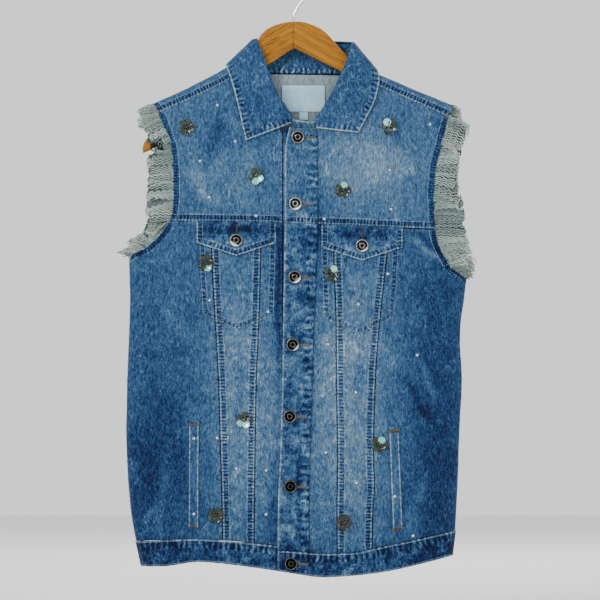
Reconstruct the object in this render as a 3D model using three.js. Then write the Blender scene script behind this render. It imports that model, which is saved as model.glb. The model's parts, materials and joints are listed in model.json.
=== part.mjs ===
// A sleeveless denim vest on a wooden hanger. Millimetres, +Z up, the front faces -Y.
// The origin is where the inside of the hook bears on a rail. Left and right are the viewer's.
import * as THREE from 'three';

const { lerp, smoothstep, degToRad } = THREE.MathUtils;

// Cloth and seams
const CLOTH = 1.6; // denim with its turnings
const DOUBLED = 2.0; // two layers, as in the placket and the flaps
const GAP = 0.3; // parting at every seam
const REST = 0.4; // clearance under a piece that lies on another
const LAP = 10; // width of a lapped, twice stitched seam
const LAP_RISE = 0.9; // how far the lap stands up
const STEP = 1.2; // width of the slope beside a lap
const BAG_CLOTH = 0.9; // pocket bag
const LABEL_CLOTH = 0.6;

// Hang of the cloth
const ROUND = 2.8; // exponent of the superellipse that a level section follows
const FOLD_RADIUS = 12; // outside radius of the fold over the shoulders
const SPREAD_HEIGHT = 150; // below the shoulder the two layers part over this height
const FOLD_ENDS = { from: -0.1, full: 0.35, fading: 0.85, to: 1.25 }; // shares of a soft fold's length

// Shoulder line from the left tip to the right one: top of the fold, and the seam on the front
const SHOULDERS = [
  { x: -200, top: -172, seam: -188 },
  { x: -166, top: -157, seam: -173 },
  { x: -122, top: -136, seam: -153.6 },
  { x: -85, top: -116.4, seam: -135.4 },
  { x: -78, top: -110, seam: -131.5 },
  { x: -50, top: -97, seam: -118 },
  { x: 12, top: -92, seam: -108 },
  { x: 70, top: -100, seam: -122 },
  { x: 94, top: -120.6, seam: -135.5 },
  { x: 112.6, top: -127, seam: -143.7 },
  { x: 163.8, top: -149.7, seam: -166.3 },
  { x: 215, top: -171, seam: -189 },
];

// Side silhouette and half depth at each height
const LEVELS = [
  { z: -90, left: -214, right: 229, depth: 12 },
  { z: -250, left: -214.5, right: 229, depth: 17 },
  { z: -370, left: -214.9, right: 227, depth: 20 },
  { z: -420, left: -213.7, right: 221.8, depth: 21 },
  { z: -469, left: -215.2, right: 215.4, depth: 22 },
  { z: -526, left: -217.7, right: 218.9, depth: 23 },
  { z: -595, left: -218.7, right: 215.6, depth: 24 },
  { z: -647, left: -216.6, right: 213.8, depth: 24.5 },
  { z: -700, left: -212.3, right: 211.5, depth: 25 },
  { z: -734, left: -206.2, right: 209, depth: 25 },
  { z: -767, left: -199.2, right: 204, depth: 25 },
  { z: -790, left: -195, right: 200, depth: 25 },
];

// Armhole edges of the fronts
const ARMHOLES = [
  { z: -160, left: -190, right: 212 },
  { z: -170, left: -182, right: 206 },
  { z: -183, left: -175.5, right: 202.3 },
  { z: -209, left: -164.6, right: 195 },
  { z: -229, left: -159.6, right: 189.5 },
  { z: -252, left: -158, right: 184.1 },
  { z: -281, left: -157.3, right: 182.3 },
  { z: -300, left: -158, right: 182.8 },
  { z: -315, left: -161.2, right: 183 },
  { z: -335, left: -172.9, right: 184.5 },
  { z: -351.5, left: -191.1, right: 190 },
  { z: -364, left: -214.8, right: 196 },
  { z: -380, left: -232, right: 206.1 },
  { z: -391, left: -240, right: 225.6 },
  { z: -400, left: -246, right: 240 },
];
const PIT = { left: -364, right: -391 }; // height of the underarm points
const BACK_ARMHOLE_OUT = 6; // the back edge lies this far outside the front one
const BACK_OUT_HEIGHTS = { from: 175, to: 220 }; // and comes to that between these depths

// Front neckline, where the fronts meet the collar stand
const NECKLINE = [
  { z: -131, left: -78, right: 96 },
  { z: -136, left: -74, right: 94 },
  { z: -150, left: -62.5, right: 81 },
  { z: -165, left: -49, right: 70.5 },
  { z: -180, left: -33, right: 56.5 },
  { z: -190, left: -19, right: 44 },
  { z: -195, left: -14.3, right: 36 },
  { z: -201, left: -14.3, right: 18.3 },
  { z: -800, left: -14.3, right: 18.3 },
];

// Back neckline
const BACK_NECK = [
  { x: -78, z: -128.5 },
  { x: -66, z: -125 },
  { x: -45, z: -126.5 },
  { x: 12, z: -127.5 },
  { x: 65, z: -128.5 },
  { x: 82, z: -129 },
  { x: 94, z: -138 },
];
const NECK_LEFT = -78; // neck end of the left shoulder
const NECK_RIGHT = 94; // neck end of the right shoulder

// Lower edge of the yokes, hem, and top of the hem band on the left, the right and the back
const CROSS_LINES = [
  { x: -206, yoke: -318, hem: -768, bandLeft: -736, bandRight: -747, bandBack: -736 },
  { x: -170, yoke: -318, hem: -768, bandLeft: -734, bandRight: -747, bandBack: -736 },
  { x: -124, yoke: -318.5, hem: -761.5, bandLeft: -732.5, bandRight: -747, bandBack: -735 },
  { x: -83, yoke: -319, hem: -765.3, bandLeft: -735, bandRight: -747, bandBack: -737 },
  { x: -30, yoke: -320, hem: -772.4, bandLeft: -740.3, bandRight: -747, bandBack: -740 },
  { x: 12, yoke: -321.5, hem: -778.6, bandLeft: -744, bandRight: -749.4, bandBack: -742 },
  { x: 35, yoke: -322.6, hem: -782, bandLeft: -745, bandRight: -751.3, bandBack: -742.5 },
  { x: 73, yoke: -324, hem: -780.2, bandLeft: -745, bandRight: -751, bandBack: -742 },
  { x: 117, yoke: -326, hem: -775, bandLeft: -745, bandRight: -741.8, bandBack: -737.5 },
  { x: 151, yoke: -327.5, hem: -768, bandLeft: -745, bandRight: -735, bandBack: -731.5 },
  { x: 210, yoke: -329, hem: -753, bandLeft: -745, bandRight: -722, bandBack: -722 },
];

// Lapped seams of the fronts (their free edges) and the two edges of the placket
const SEAMS = [
  { z: -196, a: -106.5, b: -43.5, c: 52.5, d: 124, left: -6, right: 29.5 },
  { z: -210, a: -106.5, b: -43.5, c: 52.5, d: 124, left: -9.5, right: 30.5 },
  { z: -230, a: -106.5, b: -43.5, c: 52.5, d: 124, left: -12, right: 30.5 },
  { z: -310, a: -106.5, b: -43.5, c: 52.5, d: 124, left: -12, right: 30.5 },
  { z: -361, a: -105.9, b: -44, c: 52.7, d: 120, left: -12.5, right: 29.5 },
  { z: -450, a: -101.5, b: -46.5, c: 55.5, d: 110.5, left: -14.3, right: 26 },
  { z: -525, a: -97.3, b: -49.8, c: 56, d: 104.8, left: -15.3, right: 24 },
  { z: -620, a: -94.5, b: -51.5, c: 57.5, d: 102.4, left: -17.8, right: 21 },
  { z: -674, a: -93, b: -52, c: 57, d: 104.2, left: -20.4, right: 19.5 },
  { z: -700, a: -92.5, b: -52.4, c: 56.6, d: 101, left: -21, right: 19.6 },
  { z: -760, a: -91, b: -53, c: 57.5, d: 100.6, left: -21.5, right: 20 },
];
const UNDER_LEFT = -14; // side edges of the under placket
const UNDER_RIGHT = 18;
const CROSSOVER = 3; // how far the right band's end is lifted over the left one
const CROSSOVER_SLOPE = { from: 19, to: 27 }; // where it comes down again
const PLACKET_TOP = [
  { x: -14, z: -196 },
  { x: 31, z: -200 },
];

// Soft folds: a line from (x1, z1) to (x2, z2), its half width, and its depth inwards
const FRONT_FOLDS = [
  { x1: 122, z1: -255, x2: 150, z2: -345, wide: 15, deep: 1.6 },
  { x1: 168, z1: -470, x2: 186, z2: -560, wide: 15, deep: 2.4 },
  { x1: 140, z1: -515, x2: 178, z2: -590, wide: 14, deep: 2.0 },
  { x1: 165, z1: -640, x2: 158, z2: -790, wide: 20, deep: 2.8 },
  { x1: -176, z1: -480, x2: -164, z2: -560, wide: 16, deep: 1.8 },
  { x1: -160, z1: -600, x2: -152, z2: -790, wide: 20, deep: 3.0 },
  { x1: -76, z1: -560, x2: -74, z2: -790, wide: 18, deep: 1.6 },
  { x1: 80, z1: -600, x2: 84, z2: -790, wide: 18, deep: 1.8 },
  { x1: -120, z1: -200, x2: -134, z2: -300, wide: 18, deep: 1.6 },
];
const BACK_FOLDS = [
  { x1: -110, z1: -360, x2: -140, z2: -600, wide: 24, deep: 3.0 },
  { x1: -40, z1: -420, x2: -55, z2: -790, wide: 24, deep: 2.6 },
  { x1: 30, z1: -380, x2: 42, z2: -640, wide: 22, deep: 2.2 },
  { x1: 95, z1: -460, x2: 120, z2: -790, wide: 24, deep: 3.2 },
  { x1: 150, z1: -360, x2: 178, z2: -520, wide: 20, deep: 2.4 },
  { x1: -150, z1: -640, x2: -160, z2: -790, wide: 20, deep: 2.6 },
];

// Columns of the panels
const CROWD = { sideFront: 2.2, back: 1.7, bandLeft: 1.6, bandFaces: 1.5 }; // towards the side
const PIT_SHARE = { left: 0.11, right: 0.165, back: 0.14 }; // of a long panel's height, down to the pit
const YOKE_EVEN = { columns: 0.86, rows: 0.92 }; // share of a yoke that evenly spaced ones take
const YOKE_UNDER = 15; // a yoke runs this far under the placket, and lies flat there
const BAND_EVEN = { left: 0.8, right: 0.72 };
const LEFT_BAND_END = { step: -38, flat: [-36, -18, 0] }; // under the right band's end
const RIGHT_BAND_END = [0, 14, 27, 39, 42, 45, 48];

// Collar: the stand runs from neck to roll, the fall from roll to edge. side is -1 on the
// front, 0 on top of the shoulder and 1 on the back, and turn is -1 on the left, 1 on the right.
const COLLAR = [
  { side: -1, turn: -1, neckX: -4.5, neckZ: -194, rollX: -3, rollZ: -184, edgeX: -4, edgeZ: -191.5 },
  { side: -1, turn: -1, neckX: -21, neckZ: -187, rollX: -13, rollZ: -171, edgeX: -34, edgeZ: -203 },
  { side: -1, turn: -1, neckX: -39, neckZ: -173, rollX: -23, rollZ: -157, edgeX: -62.9, edgeZ: -213.8 },
  { side: -1, turn: -1, neckX: -53, neckZ: -159, rollX: -31, rollZ: -138, edgeX: -72, edgeZ: -172 },
  { side: -1, turn: -1, neckX: -66, neckZ: -143.5, rollX: -38, rollZ: -118, edgeX: -80, edgeZ: -141 },
  { side: -1, turn: -1, neckX: -75.5, neckZ: -128, rollX: -45, rollZ: -99, edgeX: -85, edgeZ: -126 },
  { side: -0.72, turn: -1, neckX: -77.2, neckZ: -112, rollX: -50.5, rollZ: -86, edgeX: -88, edgeZ: -117.5 },
  { side: 0, turn: -1, neckX: -77.2, neckZ: -108, rollX: -52, rollZ: -83, edgeX: -88, edgeZ: -113.5 },
  { side: 0.72, turn: -1, neckX: -77.2, neckZ: -112, rollX: -51, rollZ: -85, edgeX: -89.5, edgeZ: -115 },
  { side: 1, turn: -1, neckX: -58, neckZ: -124, rollX: -44, rollZ: -85.5, edgeX: -68, edgeZ: -129 },
  { side: 1, turn: -1, neckX: -38, neckZ: -125.6, rollX: -28, rollZ: -86, edgeX: -42, edgeZ: -137 },
  { side: 1, turn: -1, neckX: -16, neckZ: -126, rollX: -12, rollZ: -87, edgeX: -18, edgeZ: -138 },
  { side: 1, turn: 1, neckX: 12, neckZ: -126.5, rollX: 13, rollZ: -87.5, edgeX: 12, edgeZ: -139 },
  { side: 1, turn: 1, neckX: 40, neckZ: -127, rollX: 38, rollZ: -87.5, edgeX: 42, edgeZ: -138 },
  { side: 1, turn: 1, neckX: 66, neckZ: -127.5, rollX: 60, rollZ: -87.5, edgeX: 74, edgeZ: -138 },
  { side: 0.72, turn: 1, neckX: 92.6, neckZ: -122, rollX: 76, rollZ: -88.5, edgeX: 109, edgeZ: -122.5 },
  { side: 0, turn: 1, neckX: 92.6, neckZ: -117.6, rollX: 77, rollZ: -88, edgeX: 109, edgeZ: -120 },
  { side: -0.72, turn: 1, neckX: 92.6, neckZ: -122, rollX: 76, rollZ: -92, edgeX: 111, edgeZ: -126 },
  { side: -1, turn: 1, neckX: 90.5, neckZ: -134, rollX: 73, rollZ: -106, edgeX: 111.5, edgeZ: -136 },
  { side: -1, turn: 1, neckX: 79.5, neckZ: -150, rollX: 65, rollZ: -126, edgeX: 106, edgeZ: -162 },
  { side: -1, turn: 1, neckX: 64, neckZ: -170, rollX: 50.7, rollZ: -157, edgeX: 84, edgeZ: -203.7 },
  { side: -1, turn: 1, neckX: 46, neckZ: -187, rollX: 38, rollZ: -176, edgeX: 56, edgeZ: -201 },
  { side: -1, turn: 1, neckX: 29, neckZ: -198.5, rollX: 27.5, rollZ: -191, edgeX: 29, edgeZ: -197.5 },
  { side: -1, turn: 1, neckX: -3, neckZ: -195.6, rollX: -2.4, rollZ: -186.5, edgeX: 0, edgeZ: 0 },
];
const STAND_LEAN = 3; // the roll line stands this far outside the neckline
const FALL_CLOTH = 1.8;
const CROWN = 1.7; // extra room where the fall turns over the stand

// Chest pockets. The flap hangs from the yoke seam, the bag lies behind the fronts.
const FLAP_POINT = 17; // how far the middle of the flap and the bag reach below their corners
const CHEST_POCKETS = [
  {
    side: 'left', from: -126.5, to: -23.5, low: -347, button: -343.8,
    bagFrom: -122, bagTo: -25, bagLow: -440,
  },
  {
    side: 'right', from: 35.8, to: 141, low: -353, button: -350.8,
    bagFrom: 37, bagTo: 133, bagLow: -445,
  },
];
const WELT_WIDTH = 12;
const WELTS = [
  { side: 'left', topX: -130, top: -582, bottomX: -130.4, bottom: -717 },
  { side: 'right', topX: 130, top: -594, bottomX: 134.6, bottom: -718 },
];

// Buttons
const BUTTON_RADIUS = 8.5;
const BUTTON_SIDES = 14;
const BUTTON_PROFILE = [
  { radius: 0, height: 0 },
  { radius: 4, height: 0 },
  { radius: 4, height: 1.2 },
  { radius: BUTTON_RADIUS - 0.5, height: 1.5 },
  { radius: BUTTON_RADIUS, height: 2.3 },
  { radius: BUTTON_RADIUS - 1.4, height: 3.5 },
  { radius: BUTTON_RADIUS - 2.8, height: 3.2 },
  { radius: 2.6, height: 3.8 },
  { radius: 0, height: 3.4 },
];
const FRONT_BUTTONS = [
  { x: 4.9, z: -209.8 },
  { x: 1.7, z: -296.2 },
  { x: 0.9, z: -391.5 },
  { x: -1.6, z: -479.6 },
  { x: -5.5, z: -572.7 },
  { x: -4.8, z: -663.7 },
];
const HEM_BUTTON = { x: -3.9, z: -763.8 };

// Labels inside the back neck
const MAIN_LABEL = { left: -15.6, right: 40, top: -141.4, bottom: -175.4 };
const SIZE_TAB = { left: 6.9, right: 18.2, top: -175.9, bottom: -186 };

// Fringe along the armholes
const STRANDS = 46; // on each of the four edges
const FRINGE_UNDER = 3.5; // the strip that holds the strands reaches this far under the armhole's edge
const FRINGE_OUT = 1.5; // and this far past it
const FRINGE_STRIP_THICK = 1;
const FRINGE_TOP = { front: -186, back: -178 }; // where it starts below the shoulder
const FRINGE_FROM_PIT = 9; // it ends this far above the underarm point
const FRINGE_TUCK = 2.6; // and lies this much deeper there, where the cloth turns
const TUCKED = { from: 12, to: 4 }; // strands above the lowest one, between which it goes deeper
const FRINGE_LEAN = 1.5; // the strands lean out from the wearer's side
const FRINGE_LENGTH = 25;
const FRINGE_UNEVEN = 5;
const FRINGE_DROOP = 2;
const FRINGE_WAVES = { length: 2.4, lean: 1.7 }; // radians from one strand to the next
const STRAND_RING = { out: 0.6, size: 0.5, droop: 0.4 }; // a strand's middle, as shares of the whole
const LAST_STRANDS = { count: 8, shorter: 0.35 };

// Hanger: outline of each arm outwards from the middle, and the hook
const HANGER_THICK = 11;
const HANGER_EDGE = 2;
const HANGER_ARMS = [
  { out: 0, topLeft: -58.7, lowLeft: -93.4, topRight: -58.7, lowRight: -93.4 },
  { out: 16, topLeft: -60.6, lowLeft: -103.5, topRight: -60, lowRight: -101 },
  { out: 37, topLeft: -69.4, lowLeft: -118, topRight: -69, lowRight: -112 },
  { out: 50, topLeft: -85.6, lowLeft: -125, topRight: -82, lowRight: -118 },
  { out: 60, topLeft: -98, lowLeft: -130, topRight: -93.3, lowRight: -123 },
  { out: 72, topLeft: -108.8, lowLeft: -136, topRight: -105.4, lowRight: -130 },
  { out: 85, topLeft: -119.1, lowLeft: -144, topRight: -117.3, lowRight: -140 },
  { out: 100, topLeft: -132, lowLeft: -156, topRight: -129, lowRight: -152 },
  { out: 150, topLeft: -177, lowLeft: -197, topRight: -168, lowRight: -189 },
  { out: 186, topLeft: -207.5, lowLeft: -225.5, topRight: -196, lowRight: -214 },
];
// the rounded end of an arm, from its top to its low edge, as steps past the last row's top
const HANGER_END = [
  { out: 5.5, drop: 3.5 },
  { out: 9.5, drop: 9 },
  { out: 11.7, drop: 16 },
  { out: 10.5, drop: 22.5 },
];
const HOOK_WIRE = 3.4; // diameter
const HOOK_RADIUS = 17; // inside radius of the hook
const HOOK_ARC = { tip: 180, shank: -60, steps: 9 }; // degrees round the hook's centre
const HOOK_STRAIGHT = 9; // straight wire above the hanger
const HOOK_RINGS = 30;
const WIRE_SEGMENTS = 5;

// A smooth function through two named columns of a table
function through(rows, from, to) {
  const knots = rows.map((row) => [row[from], row[to]]).sort((p, q) => p[0] - q[0]);
  const rate = (i) => (knots[i + 1][1] - knots[i][1]) / (knots[i + 1][0] - knots[i][0]);
  const slope = (i) => {
    if (i === 0) return rate(0);
    if (i === knots.length - 1) return rate(i - 1);
    const before = rate(i - 1);
    const after = rate(i);
    return before * after > 0 ? (2 * before * after) / (before + after) : 0;
  };
  return (at) => {
    const last = knots.length - 1;
    if (at <= knots[0][0]) return knots[0][1];
    if (at >= knots[last][0]) return knots[last][1];
    const i = knots.findIndex((knot) => knot[0] >= at) - 1;
    const span = knots[i + 1][0] - knots[i][0];
    const t = (at - knots[i][0]) / span;
    const blend = t * t * (3 - 2 * t);
    const bendIn = t * (1 - t) * (1 - t) * span * slope(i);
    const bendOut = t * t * (t - 1) * span * slope(i + 1);
    return lerp(knots[i][1], knots[i + 1][1], blend) + bendIn + bendOut;
  };
}

const shoulderTop = through(SHOULDERS, 'x', 'top');
const shoulderSeam = through(SHOULDERS, 'x', 'seam');
const sideLeft = through(LEVELS, 'z', 'left');
const sideRight = through(LEVELS, 'z', 'right');
const levelDepth = through(LEVELS, 'z', 'depth');
const armholeLeft = through(ARMHOLES, 'z', 'left');
const armholeRight = through(ARMHOLES, 'z', 'right');
const neckLeft = through(NECKLINE, 'z', 'left');
const neckRight = through(NECKLINE, 'z', 'right');
const backNeck = through(BACK_NECK, 'x', 'z');
const yokeLine = through(CROSS_LINES, 'x', 'yoke');
const bandLeft = through(CROSS_LINES, 'x', 'bandLeft');
const bandRight = through(CROSS_LINES, 'x', 'bandRight');
const bandBack = through(CROSS_LINES, 'x', 'bandBack');
const hemLine = through(CROSS_LINES, 'x', 'hem');
const seamNames = ['a', 'b', 'c', 'd', 'left', 'right'];
const seam = Object.fromEntries(seamNames.map((name) => [name, through(SEAMS, 'z', name)]));
const placketTop = through(PLACKET_TOP, 'x', 'z');
const backOut = (z) => BACK_ARMHOLE_OUT * smoothstep(-z, BACK_OUT_HEIGHTS.from, BACK_OUT_HEIGHTS.to);

// Depth of the soft folds at a point of one layer
function foldDepth(folds, x, z) {
  let depth = 0;
  for (const fold of folds) {
    const along = new THREE.Vector2(fold.x2 - fold.x1, fold.z2 - fold.z1);
    const to = new THREE.Vector2(x - fold.x1, z - fold.z1);
    const share = to.dot(along) / along.lengthSq();
    const across = Math.abs(to.cross(along)) / along.length();
    const begun = smoothstep(share, FOLD_ENDS.from, FOLD_ENDS.full);
    const left = 1 - smoothstep(share, FOLD_ENDS.fading, FOLD_ENDS.to);
    depth += fold.deep * begun * left * Math.exp(-((across / fold.wide) ** 2));
  }
  return depth;
}

// Half depth of the vest over (x, z), before it rounds away to the sides
function fullDepth(face, x, z) {
  const below = Math.max(0, shoulderTop(x) - z);
  const parted = smoothstep(below, 0, SPREAD_HEIGHT);
  const folds = foldDepth(face < 0 ? FRONT_FOLDS : BACK_FOLDS, x, z);
  return lerp(FOLD_RADIUS, levelDepth(z), parted) - folds;
}

// How far (x, z) lies from the middle of the vest towards its side, 0 to 1
function sideShare(x, z) {
  const middle = (sideLeft(z) + sideRight(z)) / 2;
  return Math.abs(x - middle) / ((sideRight(z) - sideLeft(z)) / 2);
}

function skinDepth(face, x, z) {
  return fullDepth(face, x, z) * Math.max(0, 1 - Math.min(1, sideShare(x, z)) ** ROUND) ** (1 / ROUND);
}

// A point on the outside of one layer, moved out along the cloth's normal
function place(face, x, z, lift = 0) {
  const y = face * skinDepth(face, x, z);
  const field = (px, py, pz) =>
    sideShare(px, pz) ** ROUND + Math.abs(py / fullDepth(face, px, pz)) ** ROUND;
  const probe = 0.02;
  const normal = new THREE.Vector3(
    field(x + probe, y, z) - field(x - probe, y, z),
    field(x, y + probe, z) - field(x, y - probe, z),
    field(x, y, z + probe) - field(x, y, z - probe),
  ).normalize();
  return new THREE.Vector3(x, y, z).addScaledVector(normal, lift);
}

// A closed wall between two grids of points. Cells that are left out make an edge, and an
// edge may grow into a strand.
function wall(outer, inner, { present = () => true, strand = () => null } = {}) {
  const columns = outer[0].length;
  const points = [...outer.flat(), ...inner.flat()];
  const under = outer.length * columns;
  const faces = [];
  const edges = new Map();
  const quad = (a, b, c, d) => faces.push([a, b, c], [a, c, d]);
  for (let row = 0; row + 1 < outer.length; row += 1) {
    for (let column = 0; column + 1 < columns; column += 1) {
      if (present(row, column)) {
        const corner = row * columns + column;
        const ring = [corner, corner + 1, corner + columns + 1, corner + columns];
        quad(...ring);
        quad(ring[0] + under, ring[3] + under, ring[2] + under, ring[1] + under);
        ring.forEach((from, i) => edges.set(`${from},${ring[(i + 1) % 4]}`, [from, ring[(i + 1) % 4]]));
      }
    }
  }
  for (const [from, to] of edges.values()) {
    if (!edges.has(`${to},${from}`)) {
      const base = [to, from, from + under, to + under];
      const grown = strand(from, to, base.map((i) => points[i]));
      if (grown) {
        const ring = grown.ring.map((point) => points.push(point) - 1);
        const tip = points.push(grown.tip) - 1;
        base.forEach((point, i) => quad(point, base[(i + 1) % 4], ring[(i + 1) % 4], ring[i]));
        ring.forEach((point, i) => faces.push([point, ring[(i + 1) % 4], tip]));
      } else {
        quad(...base);
      }
    }
  }
  return solid(points, faces);
}

// A geometry from points and faces, turned the right way out
function solid(points, faces) {
  const wedge = ([a, b, c]) => points[a].dot(points[b].clone().cross(points[c]));
  const volume = faces.reduce((sum, face) => sum + wedge(face), 0);
  const used = [...new Set(faces.flat())];
  const index = new Map(used.map((point, i) => [point, i]));
  const geometry = new THREE.BufferGeometry();
  geometry.setFromPoints(used.map((point) => points[point]));
  const turned = faces.flatMap(([a, b, c]) => (volume < 0 ? [a, c, b] : [a, b, c]));
  geometry.setIndex(turned.map((i) => index.get(i)));
  return geometry;
}

// Outward normals of a grid of points
function gridNormals(grid, outward) {
  return grid.map((line, row) => line.map((point, column) => {
    const across = line[Math.min(column + 1, line.length - 1)].clone().sub(line[Math.max(column - 1, 0)]);
    const below = grid[Math.min(row + 1, grid.length - 1)][column];
    const down = below.clone().sub(grid[Math.max(row - 1, 0)][column]);
    return down.cross(across).normalize().multiplyScalar(outward);
  }));
}

function thicken(grid, outward, thickness) {
  const normals = gridNormals(grid, outward);
  return grid.map((line, row) => line.map((point, column) =>
    point.clone().addScaledVector(normals[row][column], -thickness)));
}

// A place in a row or column of a panel: a share of the way, a distance from there, and its rise.
// One that is marked flat takes no rise from the line that it crosses.
const stop = (share, off = 0, rise = 0) => ({ share, off, rise });
const stops = (count, from = 0, to = 1, bias = 1) =>
  Array.from({ length: count }, (_, i) => stop(from + (to - from) * (i / (count - 1)) ** bias));

// Solves for the point of a panel that lies the given shares between its four edge curves
function panelPoint(edges, column, row) {
  let x = (edges.left(edges.middle) + edges.right(edges.middle)) / 2;
  let z = edges.middle;
  const turns = 40;
  const ease = 0.6;
  for (let turn = 0; turn < turns; turn += 1) {
    const nextX = lerp(edges.left(z), edges.right(z), column.share) + column.off;
    const nextZ = lerp(edges.top(nextX), edges.bottom(nextX), row.share) + row.off;
    x += (nextX - x) * ease;
    z += (nextZ - z) * ease;
  }
  return { x, z };
}

// A panel of cloth between four edge curves
function panel(face, edges, columns, rows, { out = () => 0, thickness = CLOTH } = {}) {
  const grid = (lift) => rows.map((row) => columns.map((column) => {
    const { x, z } = panelPoint(edges, column, row);
    return place(face, x, z, lift(x, z, column.flat ? 0 : Math.max(column.rise, row.rise)));
  }));
  const outer = grid((x, z, rise) => out(x, z) + rise * LAP_RISE);
  const inner = grid((x, z) => out(x, z) - thickness);
  return wall(outer, inner);
}

const group = new THREE.Group();
group.name = 'denim-vest-on-hanger';

const FINISHES = {
  denim: { color: '#46709f', roughness: 0.92, metalness: 0 },
  dark: { color: '#2f4f7f', roughness: 0.92, metalness: 0 },
  pale: { color: '#6f93bd', roughness: 0.92, metalness: 0 },
  label: { color: '#cfdce4', roughness: 0.5, metalness: 0 },
  fringe: { color: '#aebfb4', roughness: 0.95, metalness: 0 },
  nickel: { color: '#6b6a66', roughness: 0.35, metalness: 1 },
  wood: { color: '#b97d3c', roughness: 0.5, metalness: 0 },
  steel: { color: '#b9bcc0', roughness: 0.25, metalness: 1 },
};

function add(name, geometry, finish) {
  const mesh = new THREE.Mesh(geometry, new THREE.MeshStandardMaterial(FINISHES[finish]));
  mesh.name = name;
  group.add(mesh);
  return mesh;
}

const below = (line, drop = GAP) => (x) => line(x) - drop;
const above = (line, rise = GAP) => (x) => line(x) + rise;
const shifted = (line, off) => (z) => line(z) + off;
const always = (value) => () => value;

// Rows of a panel that hangs from the yoke to the hem band
const longRows = (pitShare) => [...stops(5, 0, pitShare), ...stops(14, pitShare, 1).slice(1)];

function addFronts(side) {
  const isLeft = side === 'left';
  const armhole = isLeft ? armholeLeft : armholeRight;
  const outline = isLeft ? sideLeft : sideRight;
  const openEdge = (z) => (z > PIT[side] ? armhole(z) : outline(z));
  const bandTop = isLeft ? bandLeft : bandRight;
  const lower = { top: below(yokeLine), bottom: above(bandTop, 2 * GAP), middle: -500 };
  const overlapEdge = isLeft ? UNDER_LEFT - GAP : UNDER_RIGHT + GAP;
  const outerSeam = isLeft ? seam.a : seam.d;
  const innerSeam = isLeft ? seam.b : seam.c;
  const rows = longRows(PIT_SHARE[side]);
  const inwards = isLeft ? 1 : -1;
  const order = (columns) => (isLeft ? columns : columns.reverse());
  const between = (outer, inner) =>
    (isLeft ? { left: outer, right: inner } : { left: inner, right: outer });
  const column = (share, off, rise) => stop(isLeft ? share : 1 - share, off * inwards, rise);

  const sideEdges = between(openEdge, shifted(outerSeam, -inwards * GAP));
  const sideColumns = stops(8, 0, 1, CROWD.sideFront).map((at) => column(at.share, 0, 0));
  add(`side_front_${side}`, panel(-1, { ...lower, ...sideEdges }, order(sideColumns), rows), 'dark');

  const middleColumns = [
    column(0, 0, 1), column(0, LAP, 1), column(0, LAP + STEP, 0),
    column(0.5, 0, 0),
    column(1, -LAP - STEP, 0), column(1, -LAP, 1), column(1, 0, 1),
  ];
  const middleEdges = between(outerSeam, innerSeam);
  add(`middle_front_${side}`, panel(-1, { ...lower, ...middleEdges }, order(middleColumns), rows), 'pale');

  const centreEdges = between(shifted(innerSeam, inwards * GAP), always(overlapEdge));
  const centreColumns = [0, 0.5, 1].map((share) => column(share, 0, 0));
  add(`centre_front_${side}`, panel(-1, { ...lower, ...centreEdges }, order(centreColumns), rows), 'denim');

  const neck = isLeft ? neckLeft : neckRight;
  const yokeEdges = {
    ...between(armhole, neck),
    top: below(shoulderSeam), bottom: yokeLine, middle: -250,
  };
  const flat = (off) => ({ ...column(1, off, 0), flat: true });
  const underPlacket = [column(1, -YOKE_UNDER, 0), flat(STEP - YOKE_UNDER), flat(0)];
  const evenColumns = stops(8, 0, YOKE_EVEN.columns).map((at) => column(at.share, 0, 0));
  const yokeColumns = [...evenColumns, ...underPlacket];
  const lapRows = [stop(1, LAP + STEP, 0), stop(1, LAP, 1), stop(1, 0, 1)];
  const yokeRows = [...stops(11, 0, YOKE_EVEN.rows), ...lapRows];
  const yoke = panel(-1, yokeEdges, order(yokeColumns), yokeRows);
  add(`front_yoke_${side}`, yoke, 'pale');
}

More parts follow.
